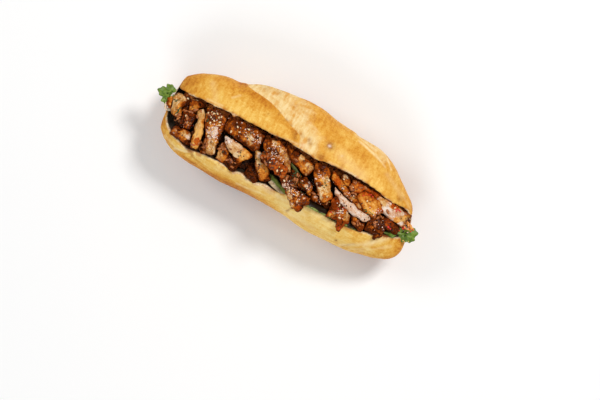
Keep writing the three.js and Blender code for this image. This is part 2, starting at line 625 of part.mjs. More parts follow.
// Each piece gives way to the roll and to every piece placed before it, so the top ones stay whole.
const placed = [bread(GAP)];
function fit(solid, round = placed) {
  const box = solid.boundingBox();
  const meets = (other) => [0, 1, 2].every(
    (k) => other.boundingBox().min[k] < box.max[k] && other.boundingBox().max[k] > box.min[k],
  );
  return round.filter(meets).reduce((rest, other) => rest.subtract(other), solid);
}

addPiece("bread_roll", bread(), COLOURS.bread, 0.6);
for (const [name, sprig] of Object.entries(CORIANDER)) {
  addPiece(name, fit(coriander(sprig)), COLOURS.coriander, 0.6);
  placed.push(coriander(sprig, GAP));
}
for (const [name, paths] of Object.entries(SHREDS)) {
  addPiece(name, fit(shreds(paths)), name.startsWith("carrot") ? COLOURS.carrot : COLOURS.daikon, 0.4);
  placed.push(shreds(paths, GAP));
}
const lying = [
  ...SLICES.map((slice) => ({ slice, name: `pork_slice_${slice.name}`, colour: COLOURS.pork })),
  ...CUCUMBER.map((slice, i) => ({ slice, name: `cucumber_strip_${i + 1}`, colour: COLOURS.cucumber })),
].sort((a, b) => b.slice.lift - a.slice.lift);
for (const piece of lying) {
  piece.solid = largest(fit(sliceSolid(piece.slice)), SMOOTHED_AWAY.thick);
  piece.grown = sliceSolid(piece.slice, GAP);
  placed.push(piece.grown);
}
const meshes = lying.map(({ solid }) => new THREE.Mesh(geometryOf(solid)));
lying.forEach(({ name, colour, solid, grown }, i) => {
  const others = placed.filter((other) => other !== grown);
  const seeded = seedsOn(i, meshes).reduce((whole, seed) => whole.add(fit(seed, others)), solid);
  addPiece(name, seeded, colour, 0.4);
});
addPiece("pork_layer", fit(porkLayer()), COLOURS.layer, 0.5);

export default sandwich;
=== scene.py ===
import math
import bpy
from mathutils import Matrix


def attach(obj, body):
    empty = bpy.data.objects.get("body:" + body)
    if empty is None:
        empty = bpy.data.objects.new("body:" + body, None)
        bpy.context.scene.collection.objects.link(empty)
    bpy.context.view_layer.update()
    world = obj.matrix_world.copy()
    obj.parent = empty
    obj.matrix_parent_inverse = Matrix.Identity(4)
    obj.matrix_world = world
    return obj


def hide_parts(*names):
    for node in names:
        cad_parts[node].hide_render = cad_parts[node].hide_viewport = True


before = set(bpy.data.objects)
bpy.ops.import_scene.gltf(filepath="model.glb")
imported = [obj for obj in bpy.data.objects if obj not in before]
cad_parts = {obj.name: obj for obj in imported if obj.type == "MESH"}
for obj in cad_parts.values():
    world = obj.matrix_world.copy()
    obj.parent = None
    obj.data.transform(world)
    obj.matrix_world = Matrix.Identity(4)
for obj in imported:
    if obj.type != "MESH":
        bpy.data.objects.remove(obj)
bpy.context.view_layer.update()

# A banh mi: a crusty roll slit along its length and opened upwards, heaped with grilled pork.
# Lengths are in millimetres until a mesh is made. X runs along the roll, +Y towards the lid, +Z up.
from types import SimpleNamespace

import bmesh
import bpy
import numpy as np
from mathutils import Matrix, Vector
from mathutils.bvhtree import BVHTree

MM = 0.001
FLOOR_REACH = 4000  # from the middle to each side
DROP_HEIGHT = 0.3  # metres above the floor, from where small things fall onto the filling

# ------------------------------------------------------------------ camera and lights

FIELD = 0.501  # metres across the picture at the height of the filling
FILLING_HEIGHT = 0.05
VIEW_HEIGHT = 2.0  # of the camera above the filling
VIEW_TURN = math.radians(27.5)  # the roll lies this far clockwise of level
VIEW_CENTRE = (0.0231, -0.0285)
SENSOR = 36
# Each light's place and size in metres, its power and its colour.
LIGHTS = {
    "key_light": ((0.45, 0.85, 1.2), 0.36, 14, (1.0, 0.985, 0.96)),
    "left_light": ((-1.1, 0.1, 1.0), 0.6, 5, (0.98, 0.99, 1.0)),
    "near_light": ((0.2, -1.1, 0.9), 0.6, 6, (0.98, 0.99, 1.0)),
}
SKY_STRENGTH = 0.31


def link(name, data):
    thing = bpy.data.objects.new(name, data)
    bpy.context.scene.collection.objects.link(thing)
    return thing


def place_camera():
    lens = bpy.data.cameras.new("camera")
    lens.sensor_width = SENSOR
    lens.lens = SENSOR * VIEW_HEIGHT / FIELD
    camera = link("camera", lens)
    over = Matrix.Translation((*VIEW_CENTRE, VIEW_HEIGHT + FILLING_HEIGHT))
    camera.matrix_world = over @ Matrix.Rotation(VIEW_TURN, 4, "Z")
    bpy.context.scene.camera = camera


def place_light(name, spot, size, power, colour):
    lamp = bpy.data.lights.new(name, "AREA")
    lamp.size = size
    lamp.energy = power
    lamp.color = colour
    light = link(name, lamp)
    light.location = spot
    light.rotation_euler = (-Vector(spot)).to_track_quat("-Z", "Y").to_euler()
    light.visible_camera = False


def light_scene():
    for name, light in LIGHTS.items():
        place_light(name, *light)
    world = bpy.data.worlds.new("studio")
    world.use_nodes = True
    sky = world.node_tree.nodes["Background"].inputs
    sky["Color"].default_value = (1, 1, 1, 1)
    sky["Strength"].default_value = SKY_STRENGTH
    bpy.context.scene.world = world
    bpy.context.scene.view_settings.view_transform = "Standard"


place_camera()
light_scene()


# ------------------------------------------------------------------ shader values

def srgb(red, green, blue):
    """A colour given as it looks on a screen, 0 to 255, as the linear one that shaders take."""
    def linear(level):
        level /= 255
        return level / 12.92 if level <= 0.04045 else ((level + 0.055) / 1.055) ** 2.4
    return (linear(red), linear(green), linear(blue), 1.0)


def add_node(tree, kind, sockets=None, **settings):
    """Adds a node. Sockets, by name or number, take another node's socket or a constant."""
    node = tree.nodes.new(kind)
    for key, value in settings.items():
        setattr(node, key, value)
    for key, value in (sockets or {}).items():
        if isinstance(value, bpy.types.NodeSocket):
            tree.links.new(value, node.inputs[key])
        else:
            node.inputs[key].default_value = value
    return node


class Value:
    """A number, vector or colour in a material. Arithmetic on it adds Math nodes."""

    def __init__(self, finish, socket):
        self.finish = finish
        self.socket = socket

    def _math(self, operation, *values):
        return self.finish.node("ShaderNodeMath", dict(enumerate(values)), operation=operation)

    def __add__(self, other):
        return self._math("ADD", self, other)

    __radd__ = __add__

    def __sub__(self, other):
        return self._math("SUBTRACT", self, other)

    def __rsub__(self, other):
        return self._math("SUBTRACT", other, self)

    def __mul__(self, other):
        return self._math("MULTIPLY", self, other)

    __rmul__ = __mul__

    def __pow__(self, power):
        return self._math("POWER", self, power)

    def rise(self, start, end):
        """0 below start and 1 above end, smooth between them."""
        sockets = {"Value": self, "From Min": start, "From Max": end}
        return self.finish.node("ShaderNodeMapRange", sockets, interpolation_type="SMOOTHSTEP")


class Finish:
    """A material in the making."""

    def __init__(self, name):
        self.material = bpy.data.materials.new(name)
        self.material.use_nodes = True
        self.tree = self.material.node_tree
        self.tree.nodes.clear()
        coordinates = self.node("ShaderNodeTexCoord", out="Object")
        self.place = self.stretched(coordinates, (1 / MM, 1 / MM, 1 / MM))

    def node(self, kind, sockets=None, out=0, **settings):
        """Adds a node and returns one of its outputs."""
        plain = {key: getattr(value, "socket", value) for key, value in (sockets or {}).items()}
        return Value(self, add_node(self.tree, kind, plain, **settings).outputs[out])

    def stretched(self, vector, factors):
        return self.node("ShaderNodeVectorMath", {0: vector, 1: factors}, operation="MULTIPLY")

    def read(self, name):
        """A number stored on the mesh under this name."""
        return self.node("ShaderNodeAttribute", out="Fac", attribute_name=name)

    def read_vector(self, name):
        return self.node("ShaderNodeAttribute", out="Vector", attribute_name=name)

    def noise(self, size, detail=3.0, rough=0.55, at=None):
        """Noise from -0.5 to 0.5 with lumps of the given size."""
        sockets = {"Vector": at or self.place, "Scale": 1 / size, "Detail": detail, "Roughness": rough}
        return self.node("ShaderNodeTexNoise", sockets) - 0.5

    def cells(self, size, at=None, feature="F1"):
        """Distance to the nearest of scattered points, 0 at a point."""
        sockets = {"Vector": at or self.place, "Scale": 1 / size}
        return self.node("ShaderNodeTexVoronoi", sockets, out="Distance", feature=feature)

    def mix(self, share, first, second):
        """Share of the way from the first colour to the second. A plain one is as srgb takes it."""
        ends = [srgb(*end) if isinstance(end, tuple) else end for end in (first, second)]
        return self.node("ShaderNodeMix", {0: share, 6: ends[0], 7: ends[1]}, out=2, data_type="RGBA")

    def ramp(self, share, stops):
        """A colour that runs through stops, each its place from 0 to 1 and a colour as srgb takes it."""
        colour = self.node("ShaderNodeValToRGB", {0: share}, out="Color")
        elements = colour.socket.node.color_ramp.elements
        while len(elements) < len(stops):
            elements.new(1.0)
        for element, (position, *seen) in zip(elements, stops):
            element.position = position
            element.color = srgb(*seen)
        return colour

    def surface(self, colour, roughness, relief=None, depth=0.2, **sockets):
        """Ends the material. relief is a height from about -0.5 to 0.5, depth its scale in mm."""
        sockets = {name.replace("_", " "): value for name, value in sockets.items()}
        sockets.update({"Base Color": colour, "Roughness": roughness})
        if relief is not None:
            bump = {"Height": relief, "Distance": depth * MM, "Strength": 1.0}
            sockets["Normal"] = self.node("ShaderNodeBump", bump, out="Normal")
            if "Coat Weight" in sockets:
                sockets["Coat Normal"] = sockets["Normal"]
        shader = self.node("ShaderNodeBsdfPrincipled", sockets, out="BSDF")
        add_node(self.tree, "ShaderNodeOutputMaterial", {"Surface": shader.socket})
        return self.material


# ------------------------------------------------------------------ numbers on meshes

def mix(a, b, share):
    return a + (b - a) * share


def rise(start, end, value):
    share = np.clip((value - start) / (end - start), 0, 1)
    return share * share * (3 - 2 * share)


def bell(distance, width):
    return np.exp(-((distance / width) ** 2))


LATTICE = 32


def lumps(points, size, seed):
    """Smooth random numbers from -1 to 1 at the points, with lumps of about the given size."""
    table = np.random.default_rng(seed).uniform(-1, 1, (LATTICE, LATTICE, LATTICE))
    scaled = points / size
    cell = np.floor(scaled).astype(int)
    share = scaled - cell
    share = share * share * (3 - 2 * share)
    total = np.zeros(len(points))
    for corner in np.ndindex(2, 2, 2):
        weight = np.prod(np.where(corner, share, 1 - share), axis=1)
        x, y, z = ((cell + corner) % LATTICE).T
        total += weight * table[x, y, z]
    return total


def crests(points, size, seed):
    """Like lumps, but with sharp crests and broad hollows."""
    return 0.6 - 2 * np.abs(lumps(points, size, seed))


def made(name, points, faces):
    """An object with a mesh of the given points, in millimetres."""
    mesh = bpy.data.meshes.new(name)
    mesh.from_pydata((np.asarray(points) * MM).tolist(), [], faces)
    return link(name, mesh)


def vectors_of(items, key):
    flat = np.empty(len(items) * 3)
    items.foreach_get(key, flat)
    return flat.reshape(-1, 3)


def points_of(piece):
    return vectors_of(piece.data.vertices, "co") / MM


def normals_of(piece):
    return vectors_of(piece.data.vertex_normals, "vector")


def move_points(piece, points):
    piece.data.vertices.foreach_set("co", (points * MM).ravel())
    piece.data.update()


def store(piece, name, values):
    """Stores a number or a vector for each point, which the materials read by name."""
    values = np.asarray(values, dtype=np.float32)
    vector = values.ndim == 2
    kind = "FLOAT_VECTOR" if vector else "FLOAT"
    attribute = piece.data.attributes.new(name, kind, "POINT")
    attribute.data.foreach_set("vector" if vector else "value", values.ravel())


def store_all(piece, looks):
    for name, values in looks.items():
        store(piece, name, values)


def softened(piece, values, rounds):
    """Values at the points, each averaged with its neighbours' this many times."""
    ends = np.empty(len(piece.data.edges) * 2, dtype=int)
    piece.data.edges.foreach_get("vertices", ends)
    first, second = ends.reshape(-1, 2).T
    count = len(values)
    near = np.bincount(first, minlength=count) + np.bincount(second, minlength=count)
    soft = values.reshape(count, -1)
    for _ in range(rounds):
        sums = [
            np.bincount(first, column[second], count) + np.bincount(second, column[first], count)
            for column in soft.T
        ]
        soft = np.stack(sums, axis=1) / near[:, None]
    return soft.reshape(values.shape)


def worked_in(piece):
    """The object with its modifiers worked into a plain mesh."""
    graph = bpy.context.evaluated_depsgraph_get()
    mesh = bpy.data.meshes.new_from_object(piece.evaluated_get(graph))
    rough = piece.data
    piece.modifiers.clear()
    piece.data = mesh
    bpy.data.meshes.remove(rough)
    mesh.name = piece.name
    return piece


def copied(node, name):
    """A copy of a CAD node's solid with its doubled points merged."""
    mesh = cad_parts[node].data.copy()
    mesh.materials.clear()
    shape = bmesh.new()
    shape.from_mesh(mesh)
    bmesh.ops.remove_doubles(shape, verts=shape.verts, dist=0.01 * MM)
    shape.to_mesh(mesh)
    shape.free()
    return link(name, mesh)


def refined(piece, voxel, passes):
    """Small even facets of the given size in place of the piece's own, then smoothed."""
    remesh = piece.modifiers.new("fine", "REMESH")
    remesh.mode = "VOXEL"
    remesh.voxel_size = voxel * MM
    if passes:
        smooth = piece.modifiers.new("soft", "SMOOTH")
        smooth.factor = 0.5
        smooth.iterations = passes
    return worked_in(piece)


def finish_piece(piece, material, slot, *nodes):
    """Gives a piece its material and its place in the frame."""
    piece.data.materials.clear()
    piece.data.materials.append(material)
    piece.data.polygons.foreach_set("use_smooth", [True] * len(piece.data.polygons))
    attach(piece, "root")
    if nodes:
        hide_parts(*nodes)


# ------------------------------------------------------------------ the roll's shape, as in the CAD

LEFT, RIGHT = -111.9, 118.3
MIDDLE_HEIGHT = 34.0
SQUARENESS = 2.2
LEFT_TIP_Y, RIGHT_TIP_Y = -3.5, -26.0
FRONT_EDGE = [
    (-110, -26), (-106.7, -31.1), (-100.8, -36.5), (-94.2, -40.3), (-85.8, -42.8), (-73.3, -44.5),
    (-52, -45.3), (-20, -44.8), (0, -45.4), (25, -48), (45, -48.9), (75, -48), (90, -46.4), (98, -44.7),
    (106.3, -41.5), (112.1, -38.2), (115.4, -34.9),
]
LID_EDGE = [
    (-110, 18.2), (-106.7, 23), (-100.8, 27.6), (-94.2, 30.8), (-85.8, 33.4), (-75, 35.3), (-66, 35.8),
    (-60, 38.4), (-52.4, 42.4), (-44, 44.9), (-35.7, 46.8), (-27.3, 48.2), (-19, 48.9), (-10.6, 49.1),
    (-2.3, 48.7), (6, 48), (14, 46.6), (22.8, 44.6), (31, 43.2), (41, 42.6), (58, 42.6), (64.5, 41.1),
    (73, 37.5), (81, 33.2), (89.6, 27), (98, 20.2), (106.3, 13), (111.3, 6.4), (113, 3), (115.4, -5),
]
TOP_EDGE = [
    (-106.7, 45), (-100, 50.5), (-90, 56), (-75, 60.5), (-50, 64.5), (-10, 66.8), (40, 66.5), (75, 63),
    (90, 58.5), (100, 54), (110, 47),
]
UNDER_EDGE = [
    (-106.7, 22), (-100, 15.5), (-90, 8.5), (-75, 3), (-58, 0), (-40, -2), (0, -2.5), (50, -2.2),
    (66, -0.5), (80, 3), (90, 7), (100, 12.5), (110, 20),
]
FRONT_RIM = [
    (-110, -12), (-108.3, -19), (-102.5, -26), (-94, -30), (-85.8, -33), (-79, -35), (-69, -33.6),
    (-52, -32.3), (-38, -33.8), (-31, -31.8), (-19, -33.8), (-10, -31.4), (2, -32), (10, -30.3),
    (43, -30.7), (56, -31.5), (69, -31), (77, -29.9), (85, -27.8), (94, -25.3), (102, -22.8), (110, -20.2),
    (116, -19.4),
]
LID_RIM = [
    (-111, 7.3), (-86, 7.7), (-61, 9), (-31, 9), (-10.6, 9.8), (10, 8.1), (18.6, 7.3), (31, 8.6), (56, 9.8),
    (64.5, 9), (73, 7.7), (81, 6.5), (90, 5.6), (98, 4.8), (104, 5.2), (108, 3.1), (112, -1.9),
]
HINGE, HINGE_FLOOR = 7.5, 11.5
FRONT_FOOT, LID_FOOT = 6.0, 12.5
FRONT_HOLLOW = 3.5
SLIT_TOP, SLIT_PAST = 82.0, 8.0

# The opened blade cuts, as in the CAD, with the sharper lip of the real crust. A side is given as
# (distance over the crust from the lid's widest line, x), and pale is how little it browned.
BLADE_CUTS = [
    dict(
        left=[
            (-44, -80), (-20, -69), (0, -62.4), (18.5, -58), (28.2, -51), (32.3, -44), (37, -35.7),
            (42.3, -27.3), (47.4, -19), (51.2, -10.6), (54, -2), (60, 1), (76, 12),
        ],
        right=[
            (-44, -80), (-20, -38), (0, -12), (18, -4), (33, 2), (42, 11), (50.6, 19.4), (60, 23), (76, 12),
        ],
        pale=1.0,
    ),
    dict(
        left=[(-44, 14), (-20, 27), (0, 38), (13, 43), (19.5, 52), (24.7, 60.3), (27.5, 68.7), (31, 75.8)],
        right=[(-44, 14), (-20, 54), (0, 73), (24, 75.4), (31, 75.8)],
        pale=0.6,
    ),
]
MM_PER_RADIAN = 44.0
CUT_FLOOR, LIP, LIP_WIDTH, LIP_STEP = 1.7, 0.9, 3.0, 0.9
SHALLOW, DEEP_FROM = 0.35, 22.0
SWELL = 0.55


def through(knots, x):
    """The value at x of a smooth curve through knots (x, value), level past its ends."""
    at, level = np.array(knots, float).T
    before = np.maximum(np.arange(len(at)) - 1, 0)
    after = np.minimum(np.arange(len(at)) + 1, len(at) - 1)
    slope = (level[after] - level[before]) / (at[after] - at[before])
    x = np.clip(x, at[0], at[-1])
    i = np.clip(np.searchsorted(at, x, "right") - 1, 0, len(at) - 2)
    step = at[i + 1] - at[i]
    t = (x - at[i]) / step
    return (
        (2 * t**3 - 3 * t**2 + 1) * level[i]
        + (t**3 - 2 * t**2 + t) * step * slope[i]
        + (3 * t**2 - 2 * t**3) * level[i + 1]
        + (t**3 - t**2) * step * slope[i + 1]
    )


def sweep_of(x):
    """The roll's length as an angle, in which its round tips are straight runs."""
    return np.arcsin(np.clip((x - (LEFT + RIGHT) / 2) / ((RIGHT - LEFT) / 2), -1, 1))


def outline(knots, left_tip, right_tip):
    swept = [(-math.pi / 2, left_tip)]
    swept += [(float(sweep_of(x)), level) for x, level in knots]
    swept += [(math.pi / 2, right_tip)]
    return lambda x: through(swept, sweep_of(x))


front_edge = outline(FRONT_EDGE, LEFT_TIP_Y, RIGHT_TIP_Y)
lid_edge = outline(LID_EDGE, LEFT_TIP_Y, RIGHT_TIP_Y)
top_edge = outline(TOP_EDGE, MIDDLE_HEIGHT, MIDDLE_HEIGHT)
under_edge = outline(UNDER_EDGE, MIDDLE_HEIGHT, MIDDLE_HEIGHT)


def section(x):
    """A cross-section's middle and half width, and its rise above and below its widest line."""
    middle = (front_edge(x) + lid_edge(x)) / 2
    half = np.maximum(lid_edge(x) - middle, 0.1)
    return middle, half, top_edge(x) - MIDDLE_HEIGHT, MIDDLE_HEIGHT - under_edge(x)


def in_cut(cut, x, over):
    """How far a point lies inside a blade cut's left side, its share of the way to the right side, and
    how far the cut is open there, 0 to 1."""
    left, right = through(cut["left"], over), through(cut["right"], over)
    slant = through(cut["left"], over + 1) - left
    share = (x - left) / np.maximum(right - left, 0.1)
    return (x - left) / np.hypot(1, slant), share, np.clip((right - left) / 10, 0, 1)


def crust_relief(x, angle):
    over = angle * MM_PER_RADIAN
    height = SWELL * (np.sin(x * 0.071 + 1.3 * angle) + 0.6 * np.sin(x * 0.163 - 2 * angle + 2))
    for cut in BLADE_CUTS:
        inside, share, faded = in_cut(cut, x, over)
        sunk = rise(-LIP_STEP, LIP_STEP, inside) * (1 - rise(0.5, 1, share))
        lip = bell(inside + LIP_STEP + 0.6, LIP_WIDTH)
        deepness = mix(SHALLOW, 1, rise(0, DEEP_FROM, over))
        height = height + faded * deepness * (LIP * lip - CUT_FLOOR * sunk)
    return height


def crust_top(x, y):
    """Height of the crust's upper side over a point."""
    middle, half, up, _ = section(x)
    share = np.minimum(1, np.abs((y - middle) / half)) ** SQUARENESS
    return MIDDLE_HEIGHT + up * (1 - share) ** (1 / SQUARENESS)


def hinge_top(x):
    return np.maximum(HINGE_FLOOR, under_edge(x) + HINGE)


def front_face(x, z):
    foot = hinge_top(x)
    rim = through(FRONT_RIM, x)
    share = (z - foot) / np.maximum(crust_top(x, rim) - foot, 4)
    return mix(FRONT_FOOT, rim, share) - FRONT_HOLLOW * np.sin(math.pi * np.clip(share, 0, 1))


def lid_face(x, z):
    foot = hinge_top(x)
    rim = through(LID_RIM, x)
    share = (z - foot) / np.maximum(crust_top(x, rim) - foot, 4)
    return mix(LID_FOOT, rim, np.clip(share, 0, 1.1))


# ------------------------------------------------------------------ the roll

RINGS, SPOKES = 300, 260
SLIT_STEPS, SLIT_RISERS = 260, 70
ROLL_VOXEL = 1.0
FLAP_X = -57.6  # where a torn flap of crust hangs from the lid's edge
UPPER = 20.0  # height above which marks seen from above are laid on the crust


def ring_faces(rings, spokes, first):
    """Quads between closed rings of points that follow each other from point number first."""
    faces = []
    for ring in range(rings - 1):
        row = first + ring * spokes
        for spoke in range(spokes):
            along = (spoke + 1) % spokes
            faces.append((row + spoke, row + along, row + spokes + along, row + spokes + spoke))
    return faces


def whole_crust():
    """The roll's crust as if it had no slit, flat where it rests."""
    sweep = np.linspace(-math.pi / 2, math.pi / 2, RINGS + 2)[1:-1, None]
    turn = np.linspace(0, 2 * math.pi, SPOKES, endpoint=False)[None, :]
    x = (LEFT + RIGHT) / 2 + (RIGHT - LEFT) / 2 * np.sin(sweep) + 0 * turn
    middle, half, up, down = section(x)
    cosine, sine = np.cos(turn), np.sin(turn)
    out = crust_relief(x, np.where(turn > math.pi * 1.5, turn - 2 * math.pi, turn))
    out = out * np.minimum(1, 3 * np.cos(sweep))
    y = middle + half * np.sign(cosine) * np.abs(cosine) ** (2 / SQUARENESS) + out * cosine
    lift = np.where(sine > 0, up, down)
    z = MIDDLE_HEIGHT + lift * np.sign(sine) * np.abs(sine) ** (2 / SQUARENESS) + out * sine
    points = np.stack([x, y, np.maximum(z, 0)], axis=-1).reshape(-1, 3)
    tips = [(LEFT, LEFT_TIP_Y, MIDDLE_HEIGHT), (RIGHT, RIGHT_TIP_Y, MIDDLE_HEIGHT)]
    points = np.concatenate([tips, points])
    faces = ring_faces(RINGS, SPOKES, 2)
    last = 2 + (RINGS - 1) * SPOKES
    for spoke in range(SPOKES):
        along = (spoke + 1) % SPOKES
        faces.append((0, 2 + along, 2 + spoke))
        faces.append((1, last + spoke, last + along))
    return made("crust", points, faces)


def slit_wedge():
    """What the slit takes out of the roll, with torn, uneven faces."""
    x = np.linspace(LEFT - SLIT_PAST, RIGHT + SLIT_PAST, SLIT_STEPS)[:, None]
    share = np.linspace(0, 1, SLIT_RISERS)[None, :] ** 1.15
    z = mix(hinge_top(x), SLIT_TOP, share)
    x = x + 0 * z
    walls = []
    for face, seed in ((front_face, 11), (lid_face, 12)):
        y = face(x, z)
        spots = np.stack([x, y, z], axis=-1).reshape(-1, 3)
        torn = 0.75 * lumps(spots, 7, seed) + 0.5 * lumps(spots, 2.6, seed + 10)
        y = y + torn.reshape(y.shape)
        if face is lid_face:
            under_rim = crust_top(x, through(LID_RIM, x)) - z
            y = y - 3.4 * bell(x - FLAP_X, 1.6) * rise(3.0, 1.0, under_rim)
        walls.append(y)
    loop_y = np.concatenate([walls[0], walls[1][:, ::-1]], axis=1)
    loop_z = np.concatenate([z, z[:, ::-1]], axis=1)
    loop_x = np.concatenate([x, x], axis=1)
    points = np.stack([loop_x, loop_y, loop_z], axis=-1).reshape(-1, 3)
    spokes = 2 * SLIT_RISERS
    faces = ring_faces(SLIT_STEPS, spokes, 0)
    faces.append(tuple(range(spokes))[::-1])
    faces.append(tuple(range((SLIT_STEPS - 1) * spokes, SLIT_STEPS * spokes)))
    return made("slit", points, faces)


def outward(piece):
    shape = bmesh.new()
    shape.from_mesh(piece.data)
    bmesh.ops.recalc_face_normals(shape, faces=shape.faces)
    shape.to_mesh(piece.data)
    shape.free()
    return piece


# Marks in the crust seen from above: x, y, radius, and how much it is scorched or floured.
CRUST_MARKS = [
    (-5.8, 18.8, 2.2, 0.8, 0), (-4.4, 15.6, 2, 0.75, 0), (-1.4, 20.4, 1.8, 0.45, 0),
    (1.2, 19.4, 1.4, 0.35, 0), (7, 19, 2, 0.65, 0), (9, 16.8, 2, 0.6, 0), (22.6, 10.8, 3, 0.75, 0),
    (27.5, 9.6, 2, 0.6, 0), (17.5, 10.6, 1.6, 0.3, 0), (97, 10.4, 2.2, 0.6, 0), (65.3, -44.4, 0.9, 1, 0),
    (20.2, -37.2, 1, 0.5, 0), (24.4, 22.6, 3.4, 1, 0), (24.2, 22.6, 1.1, 0, 1), (4.4, 12.6, 2.8, 0, 0.25),
    (8.6, 12.2, 2, 0, 0.2), (-33, 22.6, 1, 0.3, 0), (-20, 24, 0.9, 0.3, 0), (-98.6, 10.6, 0.9, 0.4, 0),
    (-45, 41, 3.4, 0.25, 0), (-34, 43, 3, 0.2, 0), (-25, 27.5, 1.4, 0.5, 0), (-17.5, 25, 1.6, 0.5, 0),
    (-12, 23, 1.2, 0.4, 0), (-66, 9.4, 2, 0.5, 0), (-60, 9.6, 1.6, 0.5, 0), (-54, 9.8, 1.8, 0.5, 0),
    (-40, 9.6, 1.6, 0.4, 0), (37, 19.8, 0.9, 0, 0.4), (41, 12, 1.8, 0.3, 0), (-39, -34.4, 1.8, 0.5, 0),
    (-2, -32.6, 2.6, 0.4, 0), (52, -32.4, 2.4, 0.35, 0), (93, -27.6, 2.4, 0.45, 0), (-57.6, 6.8, 2.6, 1, 0),
]
# Pale streaks on the crust, partly painted highlights along its ridges, each a line seen from above with
# its half width and its strength.
PALE_STREAKS = [
    (70, -47, 92, -34, 1.5, 0.75), (88, -37, 103, -22, 2.2, 0.9), (78, -47, 92, -38, 0.9, 0.5),
    (84, -46, 108, -28, 1.1, 0.45), (-90, -38.8, -76, -35.8, 0.8, 1), (-102, -33, -88, -38.6, 1.4, 0.4),
    (-30, -40.6, -4, -38.4, 0.9, 0.7), (-52, -36.5, -10, -35.6, 2, 0.3), (-14, -34.4, 14, -34.4, 1.6, 0.7),
    (10, -34.4, 34, -38, 1.2, 0.45), (18, -33, 40, -32.6, 1, 0.4), (14, -42, 44, -44.6, 1.4, 0.35),
    (40, -33, 62, -33.4, 1, 0.4), (40, 41, 60, 37.4, 1.2, 0.5), (44, 38.4, 66, 32, 0.8, 0.9),
    (62, 34, 74, 28.4, 0.8, 0.9), (60, 41, 72, 36.4, 0.9, 0.5), (72, 36, 79, 28.8, 0.8, 0.9),
    (-86, 24, -78, 14, 2.6, 0.3), (36, 20, 60, 12, 5, 0.35), (78, 24, 96, 14, 2.4, 0.3),
    (-66, 21, -61, 26, 0.8, 0.4), (-84, 10.4, -70, 11.2, 0.9, 0.6), (-12, 11, 0, 11.6, 0.9, 0.6),
    (30, 10.6, 50, 11, 0.9, 0.5), (-40, 39, 4, 30, 0.8, 0.4), (-24, 42, 12, 28, 0.8, 0.3),
    (96, 16, 108, 8, 1.2, 0.35),
]
# Creases pressed into the crust: a line, its half width, its depth, and how much darker it is coloured.
CREASES = [
    (-77, -34.5, -74, -38, 1.3, 1.4, 0.5), (-74, -38, -66, -39.4, 0.9, 0.7, 0.2),
    (21.4, -36, 17.6, -42, 0.9, 1, 0.7), (72, -47, 80, -40.6, 0.8, 0.5, 0.2),
    (-88, -40.6, -76, -37.8, 0.8, 0.6, 0.1), (99, 12, 102, 6, 1.2, 0.6, 0.2),
    (-100, -36, -84, -40, 0.9, 0.5, 0.15),
]
# Where crumb is bared outside the slit's two edges, pale enough to be also painted highlights along the
# rims: from x, to x, and how wide.
FRONT_CRUMB = [(-118, -94, 1.4), (-96, -80, 1.3), (-37, -22, 2.0), (-17, -1, 1.7)]
LID_CRUMB = [(-88, -70, 0.6), (28, 36, 0.5), (42, 56, 1.0), (106, 113, 1.6)]


def near_line(x, y, line):
    """Distance from points to a line between two spots, all seen from above."""
    x0, y0, x1, y1 = line
    share = ((x - x0) * (x1 - x0) + (y - y0) * (y1 - y0)) / ((x1 - x0) ** 2 + (y1 - y0) ** 2)
    share = np.clip(share, 0, 1)
    return np.hypot(x - x0 - share * (x1 - x0), y - y0 - share * (y1 - y0))


def crust_bake(x, y, over, front):
    """How brown the crust is, 0 pale to 1 dark, from its place on the roll."""
    edge = math.pi * MM_PER_RADIAN  # where the front side is widest, as a distance over the crust
    everywhere = 0.44 + 0.3 * rise(-84, -112, x) + 0.14 * rise(96, 118, x) + 0.34 * rise(0, -26, over)
    everywhere = everywhere - 0.1 * bell(x + 60, 50) * bell(y - 16, 9)
    on_lid = 0.1 * bell(y - 38, 12) - 0.05 * bell(x - 62, 34) - 0.09 * bell(x - 73, 15) * bell(y - 13, 6)
    on_lid = on_lid + 0.05 * bell(x + 42, 18) * bell(y - 31, 5)
    # Darker along the front half's lower side, just above its widest line.
    low = rise(edge - 27, edge - 12, over) * (0.25 + 0.75 * rise(14, -16, x)) * rise(-112, -70, x)
    on_front = 0.08 * rise(50, 100, x) - 0.24 - 0.13 * bell(x - 35, 30)
    on_front = on_front + 0.46 * low + 0.3 * rise(edge, edge + 20, over)
    bake = everywhere + mix(on_lid, on_front, front)
    beneath = np.minimum(over + edge / 2, edge * 1.5 - over)
    bake = mix(bake, 0.8, rise(26, 5, beneath))
    return mix(bake, 0.6, rise(1.15, 1.45, np.abs(sweep_of(x))))


def slit_open(x, z):
    """1 where the slit reaches down to a height, 0 in the whole crust below its ends."""
    floor = hinge_top(x)
    return rise(floor - 1, floor + 2, z)


def bared_rim(points):
    """How much crumb is bared beside the slit's edges, 0 to 1; it also carries painted highlights along the
    rims.
    """
    x, y, z = points.T
    bared = np.zeros(len(x))
    rough = lumps(points, 4, 30) + 0.5 * lumps(points, 1.8, 32)
    for face, sign, runs in ((front_face, 1, FRONT_CRUMB), (lid_face, -1, LID_CRUMB)):
        outside = sign * (face(x, z) - y)
        width = np.full(len(x), -0.7)
        for first, last, reach in runs:
            width = np.maximum(width, reach * rise(first - 2, first + 2, x) * rise(last + 2, last - 2, x))
        bared = np.maximum(bared, rise(width + 0.7, width - 0.5, outside + 0.9 * rough) * (outside > -1))
    return bared * slit_open(x, z)


def roll_shape():
    """The crust with the slit cut out of it, in small even facets."""
    crust, slit = outward(whole_crust()), outward(slit_wedge())
    cutter = crust.modifiers.new("slit", "BOOLEAN")
    cutter.object = slit
    cutter.operation = "DIFFERENCE"
    cutter.solver = "MANIFOLD"
    worked_in(crust)
    bpy.data.objects.remove(slit)
    roll = refined(crust, ROLL_VOXEL, 3)
    roll.name = roll.data.name = "roll"
    return roll


